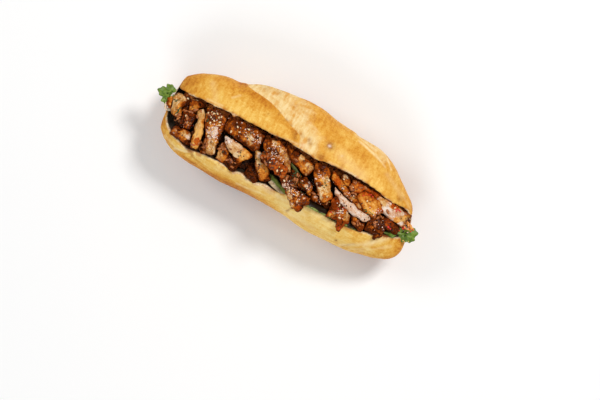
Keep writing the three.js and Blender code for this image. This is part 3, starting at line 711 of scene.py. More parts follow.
def place_in_crust(x, y, z):
    """How far round the crust points lie from the lid's widest line, and how deep under the crust."""
    middle, half, up, down = section(x)
    across = (y - middle) / half
    height = (z - MIDDLE_HEIGHT) / np.where(z > MIDDLE_HEIGHT, up, down).clip(1)
    power = SQUARENESS / 2
    angle = np.arctan2(np.sign(height) * np.abs(height) ** power, np.sign(across) * np.abs(across) ** power)
    angle = np.where(angle < -math.pi / 2, angle + 2 * math.pi, angle)
    share = (np.abs(across) ** SQUARENESS + np.abs(height) ** SQUARENESS) ** (1 / SQUARENESS)
    radius = np.hypot(y - middle, z - MIDDLE_HEIGHT) / share.clip(0.05)
    relief = crust_relief(x, angle) * np.minimum(1, 3 * np.cos(sweep_of(x)))
    return angle * MM_PER_RADIAN, (1 - share) * radius + relief


def roughened(points, out, crumb):
    """The points with bubbles and creases in the crust and torn crumb, and how much darker the creases are
    coloured.
    """
    x, y, z = points.T
    crust = 0.22 * lumps(points, 9, 21) + 0.12 * lumps(points, 3.4, 22)
    dirt = np.zeros(len(x))
    for *line, width, deep, dirty in CREASES:
        pressed = bell(near_line(x, y, line) + 0.5 * lumps(points, 2, 28), width) * (z > UPPER)
        crust = crust - deep * pressed
        # How much darker the creases' colour is made.
        dirt = np.maximum(dirt, dirty * pressed)
    torn = 0.35 * lumps(points, 3.2, 23) + 0.25 * lumps(points, 1.7, 24)
    points = points + out * ((1 - crumb) * crust + crumb * torn)[:, None]
    points[:, 2] = np.maximum(points[:, 2], 0)
    return points, dirt


def torn_floors(x, over, points):
    """1 on the torn floors of the blade cuts, 0 on browned crust."""
    torn = np.zeros(len(x))
    wander = 0.2 * lumps(points, 9, 25) + 0.1 * lumps(points * (0.4, 1, 1), 2.5, 27)
    for cut in BLADE_CUTS:
        inside, share, faded = in_cut(cut, x, over)
        tear = faded * rise(-0.6, 0.8, inside) * (1 - rise(0.55, 1.0, share + wander)) * cut["pale"]
        torn = np.maximum(torn, tear)
    return torn


def marked(x, y, z, points, dirt):
    """How scorched, floured and pale-streaked the crust is, each 0 to 1; the scorch starts from the
    creases' darker colour, and the pale streaks are partly painted highlights.
    """
    scorch, flour, streak = dirt, np.zeros(len(x)), np.zeros(len(x))
    for *line, width, strength in PALE_STREAKS:
        reach = near_line(x, y, line) + 0.6 * lumps(points, 3.5, 29)
        streak = np.maximum(streak, strength * bell(reach, width) * (z > UPPER))
    for mark_x, mark_y, size, brown, white in CRUST_MARKS:
        spot = bell(np.hypot(x - mark_x, y - mark_y) + 0.3 * size * lumps(points, 1.5, 26), size)
        scorch = np.maximum(scorch, brown * spot * (z > UPPER))
        flour = np.maximum(flour, white * spot * (z > UPPER))
    return scorch, flour, streak


def sauced_edges(x, y, z):
    """How much sauce stains the slit's edges, how deep points lie under them, and the wettest places."""
    front_rim, lid_rim = through(FRONT_RIM, x), through(LID_RIM, x)
    near_rim = rise(3.5, 0.5, np.minimum(np.abs(y - front_rim), np.abs(y - lid_rim)))
    flap = bell(x - FLAP_X, 2.4) * (y > 3) * (y < 9.4) * (z > 50)
    sauce = np.maximum(near_rim * (z > 30) * slit_open(x, z), flap)
    front = y < (front_rim + lid_rim) / 2
    rim_top = np.where(front, crust_top(x, front_rim), crust_top(x, lid_rim))
    fresh = rise(-78, -90, x) * front
    stained = np.maximum(rise(12, 30, x) * front, bell(x - FLAP_X, 2.5) * (y > 0))
    return sauce, (rim_top - z + 0.35 * fresh) * (1 - flap), stained


def bread_roll():
    roll = roll_shape()
    points, out = points_of(roll), normals_of(roll)
    x, y, z = points.T
    over, depth = place_in_crust(x, y, z)
    crumb = rise(0.9, 2.2, depth) * rise(0.4, 1.2, z)
    crumb = np.where(np.abs(sweep_of(x)) > 1.48, crumb * rise(40, 44, z), crumb)
    points, dirt = roughened(points, out, crumb)
    move_points(roll, points)

    inside, _, faded = in_cut(BLADE_CUTS[0], x, over)
    # Darker just outside the first cut's left side: painted shade of the cut's lip, stored with the bake.
    bake = crust_bake(x, y, over, rise(70, 90, over)) + 0.12 * faded * bell(inside + 3.5, 3.5)
    looks = {"crumb": crumb, "torn": torn_floors(x, over, points) * (1 - crumb), "bake": bake}
    looks["rim"] = bared_rim(points)
    looks["scorch"], looks["flour"], looks["streak"] = marked(x, y, z, points, dirt)
    looks["sauce"], looks["deep"], looks["stained"] = sauced_edges(x, y, z)
    store_all(roll, looks)
    return roll


def crust_colour(f, mottle, grit):
    """Baked crust, with its torn floors, pale streaks and bared rim crumb that are partly painted
    highlights, scorched spots and floured spots. Its bake holds painted shade beside the first cut's lip.
    """
    patches = f.noise(24, detail=2)
    over_lid = f.node("ShaderNodeSeparateXYZ", {0: f.place}, out="Y").rise(-20, -5)
    across = f.noise(2.6, detail=4, at=f.stretched(f.place, (1.0, 0.3, 0.3)))
    along = f.noise(2.6, detail=4, at=f.stretched(f.place, (0.22, 1.0, 1.0)))
    grain = across * over_lid * 0.8 + along * (1 - over_lid)
    crust = f.ramp(f.read("bake") + patches * 0.5 + mottle * 0.42 + grit * 0.6 + grain * 0.7, [
        (0.0, 251, 219, 140), (0.25, 239, 191, 94), (0.5, 222, 156, 56), (0.75, 192, 114, 32),
        (1.0, 134, 70, 24),
    ])
    stretch = f.noise(3.4, detail=4, at=f.stretched(f.place, (1.3, 0.35, 0.35)))
    tear = f.ramp(stretch * 1.9 + mottle + 0.5 + patches * 0.9 + grit * 0.6, [
        (0.15, 246, 220, 164), (0.5, 236, 200, 134), (0.85, 224, 164, 82),
    ])
    crust = f.mix(f.read("torn") * 0.92, crust, tear)
    # Pale streaks, partly painted highlights.
    crust = f.mix(f.read("streak") * (0.8 + stretch), crust, (250, 222, 164))
    # Bared crumb at the rims, pale enough to stand for the rims' highlights too: partly painted highlight.
    crumbly = f.ramp(grit * 1.8 + mottle + 0.5, [(0.2, 212, 164, 106), (0.65, 248, 230, 188)])
    crust = f.mix(f.read("rim"), crust, crumbly)
    crust = f.mix(f.read("scorch") * (0.9 + grit * 1.2), crust, (150, 82, 30))
    return f.mix(f.read("flour"), crust, (238, 216, 196))


def crumb_colour(f, holes):
    """The slit's faces: open crumb, darker in its holes as painted shade, soaked dark further down, which
    is sauce and painted shade of the deep slit, and stained by sauce along the rim.
    """
    # Darker at the centres of the holes: painted shade.
    crumb = f.ramp(holes + f.noise(1.2) * 0.5, [
        (0.1, 196, 158, 112), (0.4, 235, 212, 174), (0.8, 246, 230, 200),
    ])
    # Near black further down: sauce-soaked crumb and painted shade deep in the slit.
    soaked = (f.read("deep") + f.noise(5) * 2.4).rise(0.4, 2.2)
    crumb = f.mix(soaked * 0.97, crumb, (24, 11, 5))
    stain = (f.noise(7) * 3.2 + 0.25 + f.read("stained")).rise(0.0, 0.8)
    return f.mix(f.read("sauce") * stain * 0.8 * (1 - f.read("rim")), crumb, (160, 86, 40))


def crust_finish():
    f = Finish("baked_crust")
    mottle = f.noise(5, detail=4)
    grit = f.noise(1.5, detail=4, rough=0.65)
    holes = f.cells(2.6)
    crumb = f.read("crumb")
    colour = f.mix(crumb, crust_colour(f, mottle, grit), crumb_colour(f, holes))
    edge_stain = f.read("sauce") ** 2.2 * (f.noise(5) * 3 + 0.3).rise(0.0, 0.6)
    colour = f.mix(edge_stain * 0.62, colour, (180, 98, 38))
    blisters = f.cells(3.1, feature="SMOOTH_F1") * 0.5 + grit * 0.5 + mottle * 0.7
    relief = blisters * (1 - crumb) + (grit + holes * 0.8) * crumb
    roughness = 0.47 + grit * 0.3 + crumb * 0.35 + f.read("torn") * 0.1
    return f.surface(colour, roughness, relief, depth=0.4, Specular_IOR_Level=0.06)


# ------------------------------------------------------------------ grilled pork

# How each slice looks: how browned, how glazed, how pink and how mottled it is, and how much of it is
# pale clean meat, lying towards which side of it in degrees.
SLICE_LOOKS = {
    "01": (0.46, 0.15, 0, 0.35, 0.66, 180), "02": (0.62, 0.3, 0.05, 0.4, 0.38, 100),
    "03": (0.86, 0.8, 0, 1.1, 0, 0), "04": (0.7, 0.3, 0.1, 0.5, 0.32, 20),
    "05": (0.18, 0.2, 0, 0.08, 0.6, 150), "06": (0.58, 0.5, 0.5, 0.9, 0.34, 275),
    "07": (0.84, 0.4, 0.45, 0.6, 0.2, 20), "08": (0.58, 0.3, 0.25, 0.4, 0.4, 225),
    "09": (0.5, 0.2, 0.3, 0.25, 0.62, 150), "10": (1.1, 0.3, 0, 1, 0, 0),
    "11": (0.5, 0.3, 0, 0.35, 0.5, 120), "12": (1.15, 0.2, 0, 0.9, 0, 0),
    "13": (0.66, 0.5, 0.2, 0.85, 0.42, 20), "14": (0.58, 1, 0.1, 1, 0.08, 90),
    "15": (0.74, 0.5, 0.2, 0.9, 0.34, 235), "16": (0.82, 0.4, 0.05, 0.5, 0.34, 345),
    "17": (0.68, 0.4, 0.55, 0.65, 0.36, 20), "18": (0.9, 0.4, 0.1, 0.9, 0.05, 0),
    "19": (0.84, 0.3, 0.4, 0.6, 0.24, 90), "20": (0.56, 0.4, 0.05, 0.45, 0.42, 290),
    "21": (0.48, 0.5, 0.3, 0.35, 0.36, 270), "22": (0.56, 0.4, 0.1, 0.4, 0.3, 90),
    "23": (0.56, 0.8, 0.1, 0.55, 0.1, 180), "24": (0.14, 0, 1, 0, 1.1, 90),
    "25": (0.8, 0.75, 0.15, 0.85, 0.2, 20), "26": (0.38, 0.4, 0, 0.15, 0.06, 90),
    "27": (0.64, 0.4, 0.1, 0.75, 0.36, 45), "28": (0.34, 0.4, 0.85, 0.05, 0.72, 245),
    "29": (0.94, 0.4, 0.05, 0.9, 0, 0), "30": (0.9, 0.5, 0.05, 1, 0, 0),
    "31": (0.74, 0.5, 0.3, 0.65, 0.14, 90), "32": (0.56, 0.5, 0, 0.4, 0.15, 90),
    "33": (0.8, 0.3, 0.1, 0.6, 0.1, 90), "34": (0.98, 0.4, 0.05, 1, 0, 0),
    "35": (1.06, 0.4, 0.05, 0.9, 0, 0),
}
# Dabs of another look on the slices, each seen from above as x, y and radius: more browned, glazed,
# pink and pale by these amounts. Some pale pink dabs are painted highlights on the glaze.
DABS = [
    ((-0.1, -0.3, -0.2, 0.8), [
        (-109, -5, 4), (-84, -3, 2.5), (-106, 2, 4), (-89, -24.5, 3), (-44, -18, 6), (-18, 4, 3),
        (-3, -1.5, 2.2), (0, -5, 2.2), (4, -9, 2.4), (22.5, -16.5, 2.2), (11, -26, 2.2), (15, -30, 2.2),
        (19, -35, 2.2), (8, 4, 3.5), (16, 0, 3), (34, -4, 3.5), (38, -10, 5), (64, -23, 3.5),
        (52, -27, 3.5), (102, 0, 4), (27, -2, 2.5), (61, -7, 2.5), (69, -10, 2.5),
    ]),
    # Pale pink dabs, partly painted highlights on the glaze.
    ((-0.1, -0.3, 0.7, 0.9), [
        (-67, -11, 4.4), (-71, -14, 2.6), (-84, -25, 2.5), (-53, -11.5, 4), (-97, -26, 3), (-24, -11, 2),
        (6, -24.5, 2), (97, -3, 3.5), (33, -21, 2.5), (81, -9.5, 2.4), (64, -15, 3),
    ]),
    ((0, -0.2, -0.9, 0.5), [
        (-63, -20.5, 4.5), (-62, -26, 5), (-40, -2, 5), (-36, -7, 3), (85, 1.5, 4.5), (45, 1, 2.5),
        (40, -3, 3), (-8, 1, 3), (-101, 0, 3), (-54, -26, 3.5), (55, 3, 2), (106, -3, 3),
    ]),
    ((-0.1, 0.2, -0.6, -0.8), [
        (42.5, -16, 5), (109, -2, 3.5), (-92, 1.5, 4), (-14.5, -23, 3), (-26, 5, 4), (102, -6.5, 3.2),
    ]),
    ((-0.26, 0.1, -0.6, -0.05), [
        (-77, -18, 5), (-52, -3, 4), (-42, -6, 3), (-35, -18, 5), (13, -4, 5), (44, -18, 4), (21, -30, 3),
        (108, -2, 3),
    ]),
    ((0.25, 0, -0.3, -0.9), [
        (-99, -3, 4), (-75.4, -25.4, 2.4), (-74, 0, 6), (-78, -7, 3), (-58, -9, 2.5), (-46, -8, 3),
        (-15, -3, 3), (-22, 2, 3), (-8, -25, 3), (-44, -25, 5), (2, 4, 4), (27, 1, 5), (32, -9, 2.5),
        (57, -1, 3), (-93, -9, 4), (18, -12, 3),
    ]),
    ((0, 1, -0.2, -0.9), [
        (-95, -13, 4), (-75, -25, 3.5), (-8, -12, 5), (50, -21, 3), (62, -33, 3), (26, -33, 2.5),
        (96, 3.5, 3), (86, -6.5, 2.5), (70, 4, 4), (98, -12, 4), (44, -1, 3), (30, -17, 2.5),
    ]),
    ((0.55, 0.2, -0.2, -1), [
        (-87, 4, 2.2), (-92, -16, 3), (-93, -23.5, 1.6), (-83, -29, 2.5), (-51, -23, 2), (-32.5, 1.2, 1.4),
        (-40, -28, 6), (-24, -29, 6), (-12, -3, 2.6), (-19, -13, 3), (-3, -14, 2.6), (-9, -28, 2.5),
        (8, -16, 5), (12, -11, 4), (26.5, -31, 2), (15, -5, 1.6), (50, -19, 3.4), (91, -16, 5),
        (52, -9, 1.2), (55, -12, 1.2), (74, 3.4, 2.5), (27, 5, 3), (3, 5, 3), (22, -20, 3),
    ]),
]
MEAT_VOXEL = 0.42


def long_way(off):
    """The level direction in which points reach furthest, from their places about their middle."""
    _, ways = np.linalg.eigh(np.cov(off[:, :2].T))
    return np.array([ways[0, 1], ways[1, 1], 0])


def meat(node, name, voxel=MEAT_VOXEL, torn=1.0, seed=0):
    """A CAD solid of meat given fibres, wrinkles, notched edges and dents."""
    piece = refined(copied(node, name), voxel, 2)
    points, out = points_of(piece), normals_of(piece)
    off = points - (points.min(0) + points.max(0)) / 2
    along = long_way(off)
    beside = np.array([-along[1], along[0], 0])
    grain = np.stack([off @ along, off @ beside, off[:, 2]], axis=1)
    grain = grain + 1.2 * np.stack([lumps(points, 6, seed + k) for k in range(3)], axis=1)
    steep = 1 - np.abs(out[:, 2])
    fine = 0.4 * crests(grain * (0.22, 1, 1), 2.4, seed + 4) + 0.4 * crests(points, 2.8, seed + 5)
    fine += 0.26 * lumps(grain * (0.3, 1, 1), 1.1, seed + 6)
    edge = steep * lumps(grain * (1, 0.7, 0.25), 2.6, seed + 7)
    move = 0.35 + 0.6 * lumps(points, 5.5, seed + 3) + torn * fine + 0.8 * edge
    level = np.zeros(len(points))
    sway = np.stack([lumps(points, 7, seed + 8), lumps(points, 7, seed + 9), level], axis=1)
    notch = np.stack([lumps(points, 3, seed + 10), lumps(points, 3, seed + 11), level], axis=1)
    points = points + out * move[:, None] + 0.9 * sway + 0.55 * notch
    move_points(piece, points)
    bulge = ((points - softened(piece, points, 14)) * out).sum(1)
    # Depth below the piece's top, read for painted shade on its low sides.
    low = (points[:, 2].max() - points[:, 2]) / 6
    looks = {"grain": grain, "steep": steep, "bulge": bulge, "edge": softened(piece, steep, 30), "low": low}
    store_all(piece, looks)
    return piece, off


def dabbed(points, ragged, spots):
    """How much of a look each point gets from the dabs at these spots, 0 to 1."""
    share = np.zeros(len(points))
    for x, y, radius in spots:
        reach = np.hypot(points[:, 0] - x, points[:, 1] - y) + ragged
        share = np.maximum(share, rise(1.25 * radius, 0.5 * radius, reach))
    return share[:, None]


def pork_slice(number):
    browned, glazed, pink, mottled, pale, side = SLICE_LOOKS[number]
    torn = 0.5 + 0.6 * mottled
    piece, off = meat("pork_slice_" + number, "pork_" + number, torn=torn, seed=int(number))
    heading = np.array([math.cos(math.radians(side)), math.sin(math.radians(side))])
    toward = off[:, :2] @ heading
    reach = np.abs(off[:, :2]).max(0) @ np.abs(heading)
    looks = np.tile((browned, glazed, pink, 2 * pale - 1), (len(off), 1))
    looks[:, 3] += toward / reach * 0.8
    points = points_of(piece)
    ragged = 0.9 * lumps(points, 4, 61) + 0.6 * lumps(points, 1.8, 62)
    for change, spots in DABS:
        looks += dabbed(points, ragged, spots) * change
    mottled = np.full(len(off), mottled)
    store_all(piece, {"pale": looks[:, 3], "look": looks[:, :3].clip(0, 1.2), "mottled": mottled})
    return piece


def pork_inputs(f):
    """What the pork's colours are mixed from: numbers stored on the slices, and noises."""
    pork = SimpleNamespace()
    look = f.node("ShaderNodeSeparateXYZ", {0: f.read_vector("look")})
    pork.browned, pork.glazed, pork.pink = [Value(f, socket) for socket in look.socket.node.outputs]
    for name in ("bulge", "steep", "mottled", "edge", "low"):
        setattr(pork, name, f.read(name))
    grain = f.read_vector("grain")
    pork.fibres = f.noise(1.3, at=f.stretched(grain, (0.16, 1, 1)))
    pork.bands = f.noise(3.4, at=f.stretched(grain, (0.35, 1, 1)))
    pork.bundles = f.cells(2.6, at=f.stretched(grain, (0.28, 1, 1)), feature="DISTANCE_TO_EDGE")
    pork.broad = f.noise(8, detail=2)
    pork.lump = f.noise(4.2)
    pork.patch = f.noise(2.2, rough=0.6)
    pork.speck = f.noise(1.3, rough=0.65)
    pork.spotty = pork.mottled * 0.8 + 0.4
    return pork


def pale_share(f, pork):
    """Where the meat is pale and clean."""
    spots = (pork.lump + pork.patch * 0.8) * pork.spotty * 1.8
    pale = f.read("pale") + pork.bands * 1.4 + pork.broad * 0.8 + spots
    sides = pork.edge * (pork.glazed * 1.1 + 0.1)
    return (pale - pork.steep * 0.25 - pork.bulge * 0.3 - sides).rise(-0.2, 0.25)


def browned_meat(f, pork, pale):
    """Browned meat, with tan or pinkish clean meat where it is pale and dark seams between fibres."""
    spots = (pork.lump * 1.3 + pork.patch * 1.3 + pork.speck * 0.8) * pork.spotty
    heat = pork.browned + pork.broad * 0.9 + spots + pork.bands * 0.7 + pork.edge * 0.5 - 0.12
    brown = f.ramp(heat, [
        (0.05, 240, 184, 100), (0.28, 216, 138, 50), (0.52, 178, 88, 20), (0.76, 108, 44, 8),
        (1.0, 22, 8, 2),
    ])
    spots = (pork.patch * 1.4 + pork.speck * 1.5) * pork.spotty
    light = pork.fibres * 0.7 + pork.bands + pork.broad * 0.9 + spots + 0.57 - pork.edge * 0.35
    tan = f.ramp(light, [
        (0.1, 148, 82, 32), (0.35, 198, 134, 64), (0.6, 220, 172, 108), (0.95, 244, 220, 178),
    ])
    rosy = f.ramp(light, [
        (0.1, 196, 128, 84), (0.35, 222, 178, 144), (0.6, 238, 216, 198), (0.95, 252, 246, 242),
    ])
    colour = f.mix(pale, brown, f.mix(pork.pink, tan, rosy))
    seam = (0.06 - pork.bundles).rise(0.0, 0.06) * (pork.patch + 0.5).rise(0.3, 0.7)
    return f.mix(seam * 0.4, colour, (116, 54, 16))


def sauced_meat(f, pork, colour, pale, glaze):
    """Red glaze, dark sauce that near the edges is also painted shade, and specks of fat that are partly
    painted glints, over a colour.
    """
    crisp = pork.speck * 2.2 + pork.patch * 1.2 + 0.5
    red = f.ramp(crisp, [(0.15, 120, 30, 2), (0.5, 184, 66, 8), (0.9, 232, 124, 40)])
    colour = f.mix(glaze * (1.0 - pork.browned * 0.5), colour, red)
    dark = f.ramp(crisp, [(0.1, 34, 10, 2), (0.5, 100, 36, 8), (0.9, 178, 82, 24)])
    # Dark sauce in patches and near the slices' edges, where it is also painted shade.
    sauce = pork.edge * 1.9 + pork.lump * 1.8 + pork.patch * 1.4 + pork.browned * 0.3 - 1.0
    colour = f.mix(sauce.rise(-0.1, 0.35) * (1 - pale * 0.7) * 0.85, colour, dark)
    # Pale specks of fat, partly painted glints on the glaze.
    fat = pork.speck * 1.8 + pork.patch * 1.3 + pork.mottled * 0.35 + pork.pink * 0.12 + 0.1
    fat = (fat - pork.browned * 0.16).rise(0.54, 0.66) * 0.6
    return f.mix(fat, colour, f.mix(pork.pink, (244, 206, 150), (252, 236, 236)))


def charred_meat(f, pork, colour, pale):
    """Painted shade in hollows and on low steep sides, and singed and burnt spots over a colour."""
    # Painted shade in the hollows of the surface.
    crease = (0 - pork.bulge + pork.speck * 0.3).rise(0.04, 0.42)
    colour = f.mix(crease * (0.78 - pale * 0.35), colour, (50, 17, 4))
    # Painted shade on the low, steep sides of each piece.
    under = (pork.low * pork.steep + pork.lump * 0.5).rise(0.25, 0.95)
    colour = f.mix(under * 0.8, colour, (60, 21, 6))
    char = pork.lump * 1.1 + pork.patch * 1.2 + pork.speck * 1.2 + pork.mottled * 0.34
    char = char + pork.browned * 0.3 - 0.36
    colour = f.mix(char.rise(0.08, 0.3) * (0.65 - pale * 0.3), colour, (134, 58, 16))
    burnt = f.mix(pale, (28, 10, 3), (132, 62, 20))
    return f.mix(char.rise(0.26, 0.4) * (0.9 - pale * 0.35), colour, burnt)


def pork_finish():
    f = Finish("grilled_pork")
    pork = pork_inputs(f)
    pale = pale_share(f, pork)
    glaze = pork.glazed * 1.4 + pork.lump * 1.4 + pork.patch + pork.edge * 0.6 - 0.55
    glaze = glaze.rise(0.2, 0.8) * (1 - pale * 0.7)
    colour = sauced_meat(f, pork, browned_meat(f, pork, pale), pale, glaze)
    colour = charred_meat(f, pork, colour, pale)
    relief = pork.fibres * 0.8 + pork.patch * 0.5 + pork.speck * 0.9 + pork.bundles * 0.4
    wet = (glaze + 0.25) * (pork.speck * 2 + pork.patch).rise(0.25, 0.5) * 0.5
    return f.surface(
        colour, 0.5 - glaze * 0.22 + pork.speck * 0.3, relief, depth=0.55, Coat_Weight=wet,
        Coat_Roughness=0.12, Specular_IOR_Level=0.04, Specular_Tint=(1.0, 0.6, 0.34, 1.0),
    )


def layer_finish():
    f = Finish("sauced_pork_beneath")
    lump = f.noise(4, detail=4)
    speck = f.noise(1.2, detail=4)
    blend = lump * 1.4 + speck * 0.9 + 0.5
    # Sauced pork, kept near black so the gaps between the slices read as deep shade: partly painted shade.
    colour = f.ramp(blend, [(0.25, 16, 8, 4), (0.55, 46, 21, 9), (0.85, 120, 56, 20)])
    blend = blend + f.noise(14, detail=2)
    # Towards the lid the colour is lifted to a bright orange-brown against the lid's shadow there: painted
    # light.
    beside_lid = f.ramp(blend, [(0.3, 30, 12, 5), (0.5, 200, 98, 40), (0.85, 250, 156, 74)])
    colour = f.mix(f.read("lidward"), colour, beside_lid)
    return f.surface(colour, 0.45 + speck * 0.3, lump + speck * 0.6, depth=0.8, Specular_IOR_Level=0.06)


# ------------------------------------------------------------------ greens and pickles

def leaf_rim(t):
    """How far a leaflet reaches in the direction t, 0 straight out, as a share of 1."""
    fan = np.cos(t / 2) ** 2
    return fan * (0.8 + 0.2 * np.cos(3 * t)) * (0.93 + 0.07 * np.cos(12 * t))


LEAF_WAVE = 0.9
LEAF_THICK = 0.5
LEAF_SPOKES, LEAF_RINGS = 96, 10
CORIANDER = {
    "coriander_left": dict(
        stalk=[(-100, 2.5, 43.5), (-106, 0.5, 43), (-112, 0, 44)],
        leaves=[((-111, 1, 44.2), 150, 9), ((-112.5, 0, 44), 185, 11), ((-111, -1, 43.8), 225, 9)],
    ),
    "coriander_right": dict(
        stalk=[(97, -20.2, 49.4), (102, -18.8, 47.6), (107.5, -15.8, 44.6), (112, -14.4, 43.2)],
        leaves=[
            ((107.5, -14.6, 43.4), 70, 6.5), ((111, -13.6, 43), 24, 12), ((111.5, -14.2, 42.8), 0, 10.5),
            ((109.5, -15, 43.6), -22, 8), ((98, -19.8, 48.4), 13, 8.5),
        ],
    ),
}


def leaflet(foot, turn, size):
    """Points and faces of one thin, waved leaflet."""
    t = np.linspace(-math.pi, math.pi, LEAF_SPOKES, endpoint=False)[None, :]
    reach = (np.arange(1, LEAF_RINGS + 1) / LEAF_RINGS)[:, None]
    rim = leaf_rim(t) * 1.15 + 0.1
    x = (0.3 + np.cos(t) * rim * 0.72 * reach) * size
    y = np.sin(t) * rim * 0.8 * reach * size
    x = np.concatenate([[0.3 * size], x.ravel()])
    y = np.concatenate([[0.0], y.ravel()])
    heading = math.radians(turn)
    z = LEAF_WAVE * np.sin(0.5 * x + foot[0]) + LEAF_WAVE * 0.6 * np.cos(0.8 * y)
    flat = np.stack([
        foot[0] + x * math.cos(heading) - y * math.sin(heading),
        foot[1] + x * math.sin(heading) + y * math.cos(heading),
        foot[2] + z,
    ], axis=1)
    faces = ring_faces(LEAF_RINGS, LEAF_SPOKES, 1)
    faces += [(0, 1 + s, 1 + (s + 1) % LEAF_SPOKES) for s in range(LEAF_SPOKES)]
    return flat, faces


def leaf_cluster(name, leaves):
    points, faces = [], []
    for leaf in leaves:
        flat, own = leaflet(*leaf)
        faces += [tuple(corner + len(points) for corner in face) for face in own]
        points += flat.tolist()
    piece = made(name, points, faces)
    thicken = piece.modifiers.new("thickness", "SOLIDIFY")
    thicken.thickness = LEAF_THICK * MM
    thicken.offset = 0
    return worked_in(piece)


def strand(name, paths, radius, sides=10, square=0.0):
    """Rods along smooth paths, with a round or squarish section, as one piece."""
    points, faces = [], []
    for path in paths:
        knots = np.array(path, float)
        t = np.linspace(0, len(knots) - 1, 8 * (len(knots) - 1) + 1)
        spine = np.stack([through(list(enumerate(knots[:, k])), t) for k in range(3)], axis=1)
        ahead = np.gradient(spine, axis=0)
        ahead /= np.linalg.norm(ahead, axis=1, keepdims=True)
        beside = np.cross(ahead, (0, 0, 1))
        beside /= np.linalg.norm(beside, axis=1, keepdims=True)
        above = np.cross(beside, ahead)
        first = len(points)
        for i, spot in enumerate(spine):
            swell = radius * (0.7 if i in (0, len(spine) - 1) else 1.0)
            for side in range(sides):
                a = 2 * math.pi * side / sides
                r = swell * (1 + square * math.cos(4 * a))
                points.append(spot + r * (math.cos(a) * beside[i] + math.sin(a) * above[i]))
        faces += ring_faces(len(spine), sides, first)
        faces.append(tuple(range(first, first + sides))[::-1])
        faces.append(tuple(range(len(points) - sides, len(points))))
    return outward(made(name, points, faces))


SHREDS = {
    "carrot_shreds": [
        [(101, -7.5, 42.2), (108, -5.4, 43.6), (114, -4.6, 44.8), (117.4, -7.2, 44.2)],
        [(101, -6.6, 42.4), (109, -8, 43.4), (114.6, -8.4, 43.2), (119.4, -6.4, 43.4)],
        [(101, -6, 42), (107, -4.4, 43.6), (111.2, -3.8, 45.2), (114, -6.2, 46.4)],
    ],
    "daikon_shreds": [
        [(101, -9.6, 40), (108, -9, 40.4), (116.6, -9.8, 40.6)],
        [(101, -9.2, 40.4), (109, -10.6, 40.6), (115, -11.6, 40.4)],
    ],
    "daikon_shred_left": [
        [
            (-98, -8, 38), (-106, -10.4, 40), (-111.6, -12.6, 41.6), (-113.4, -10, 42.4),
            (-114.4, -7.2, 42.8),
        ],
    ],
}
SHRED_RADIUS, STALK_RADIUS = 1.05, 1.1


def leaf_finish():
    f = Finish("coriander_leaf")
    blotch = f.noise(3)
    fine = f.noise(0.8)
    colour = f.ramp(blotch * 1.2 + fine * 0.5 + 0.5, [
        (0.2, 54, 84, 14), (0.5, 98, 126, 34), (0.85, 140, 162, 62),
    ])
    return f.surface(colour, 0.45, blotch + fine * 0.4, depth=0.25, Specular_IOR_Level=0.4)


def pickle_finish(name, deep, light):
    f = Finish(name)
    blotch = f.noise(2.5)
    colour = f.ramp(blotch * 1.4 + 0.5, [(0.2, *deep), (0.8, *light)])
    return f.surface(colour, 0.25, f.noise(0.8), depth=0.12, Subsurface_Weight=0.15, Subsurface_Scale=0.002)


# Each cucumber strip: how far towards the lid from its middle its skin starts and the dark sauce on it
# starts, and how thick the sauce is there. On the lid's side this darkening is also painted shade.
CUCUMBER_LOOKS = {1: (-2.0, 0.9, 0.95), 2: (-9.0, -1.4, 1.0), 3: (-9.0, -9.0, 0.72)}


def cucumber_strip(number):
    skin_from, sauce_from, sauce = CUCUMBER_LOOKS[number]
    piece = refined(copied(f"cucumber_strip_{number}", f"cucumber_{number}"), 0.45, 4)
    points, out = points_of(piece), normals_of(piece)
    off = points - (points.min(0) + points.max(0)) / 2
    along = long_way(off)
    beside = (off[:, 1] * along[0] - off[:, 0] * along[1]) * np.sign(along[0])
    store(piece, "skin", beside - skin_from)
    store(piece, "sauced", sauce * rise(-0.6, 0.6, beside - sauce_from + 1.2 * lumps(points, 3, 42)))
    move_points(piece, points + out * (0.18 * lumps(points, 3, 41))[:, None])
    return piece


def cucumber_finish():
    f = Finish("cucumber")
    blotch = f.noise(3)
    fine = f.noise(1.0)
    skin = (f.read("skin") + blotch * 1.2).rise(-0.4, 0.4)
    pulp = blotch * 1.3 + fine + 0.5
    flesh = f.ramp(pulp, [(0.2, 146, 116, 82), (0.8, 208, 186, 148)])
    rind = f.ramp(pulp, [(0.2, 88, 100, 34), (0.8, 164, 176, 84)])
    colour = f.mix(skin, flesh, rind)
    # Dark sauce, which on the lid's side is also painted shade.
    colour = f.mix(f.read("sauced"), colour, (34, 20, 6))
    return f.surface(colour, 0.3, fine, depth=0.15, Specular_IOR_Level=0.2)


# ------------------------------------------------------------------ seeds, flecks and crumbs

def bit_shape(node, given):
    """A ball drawn out to a bit's size, and narrower towards one end the more pointed it is."""
    ball = node("GeometryNodeMeshUVSphere", {"Segments": given["Facets"], "Rings": 5, "Radius": 0.5})
    x, y, z = node("ShaderNodeSeparateXYZ", {0: node("GeometryNodeInputPosition")[0]})
    narrow = node("ShaderNodeMath", {0: x, 1: given["Point"], 2: 1.0}, operation="MULTIPLY_ADD")[0]
    y, z = [node("ShaderNodeMath", {0: side, 1: narrow}, operation="MULTIPLY")[0] for side in (y, z)]
    drop = node("ShaderNodeCombineXYZ", {0: x, 1: y, 2: z})[0]
    sides = {0: given["Length"], 1: given["Width"], 2: given["Height"]}
    size = node("ShaderNodeCombineXYZ", sides)[0]
    sized = node("ShaderNodeVectorMath", {0: drop, 1: size}, operation="MULTIPLY")[0]
    return node("GeometryNodeSetPosition", {"Geometry": ball["Mesh"], "Position": sized})[0]


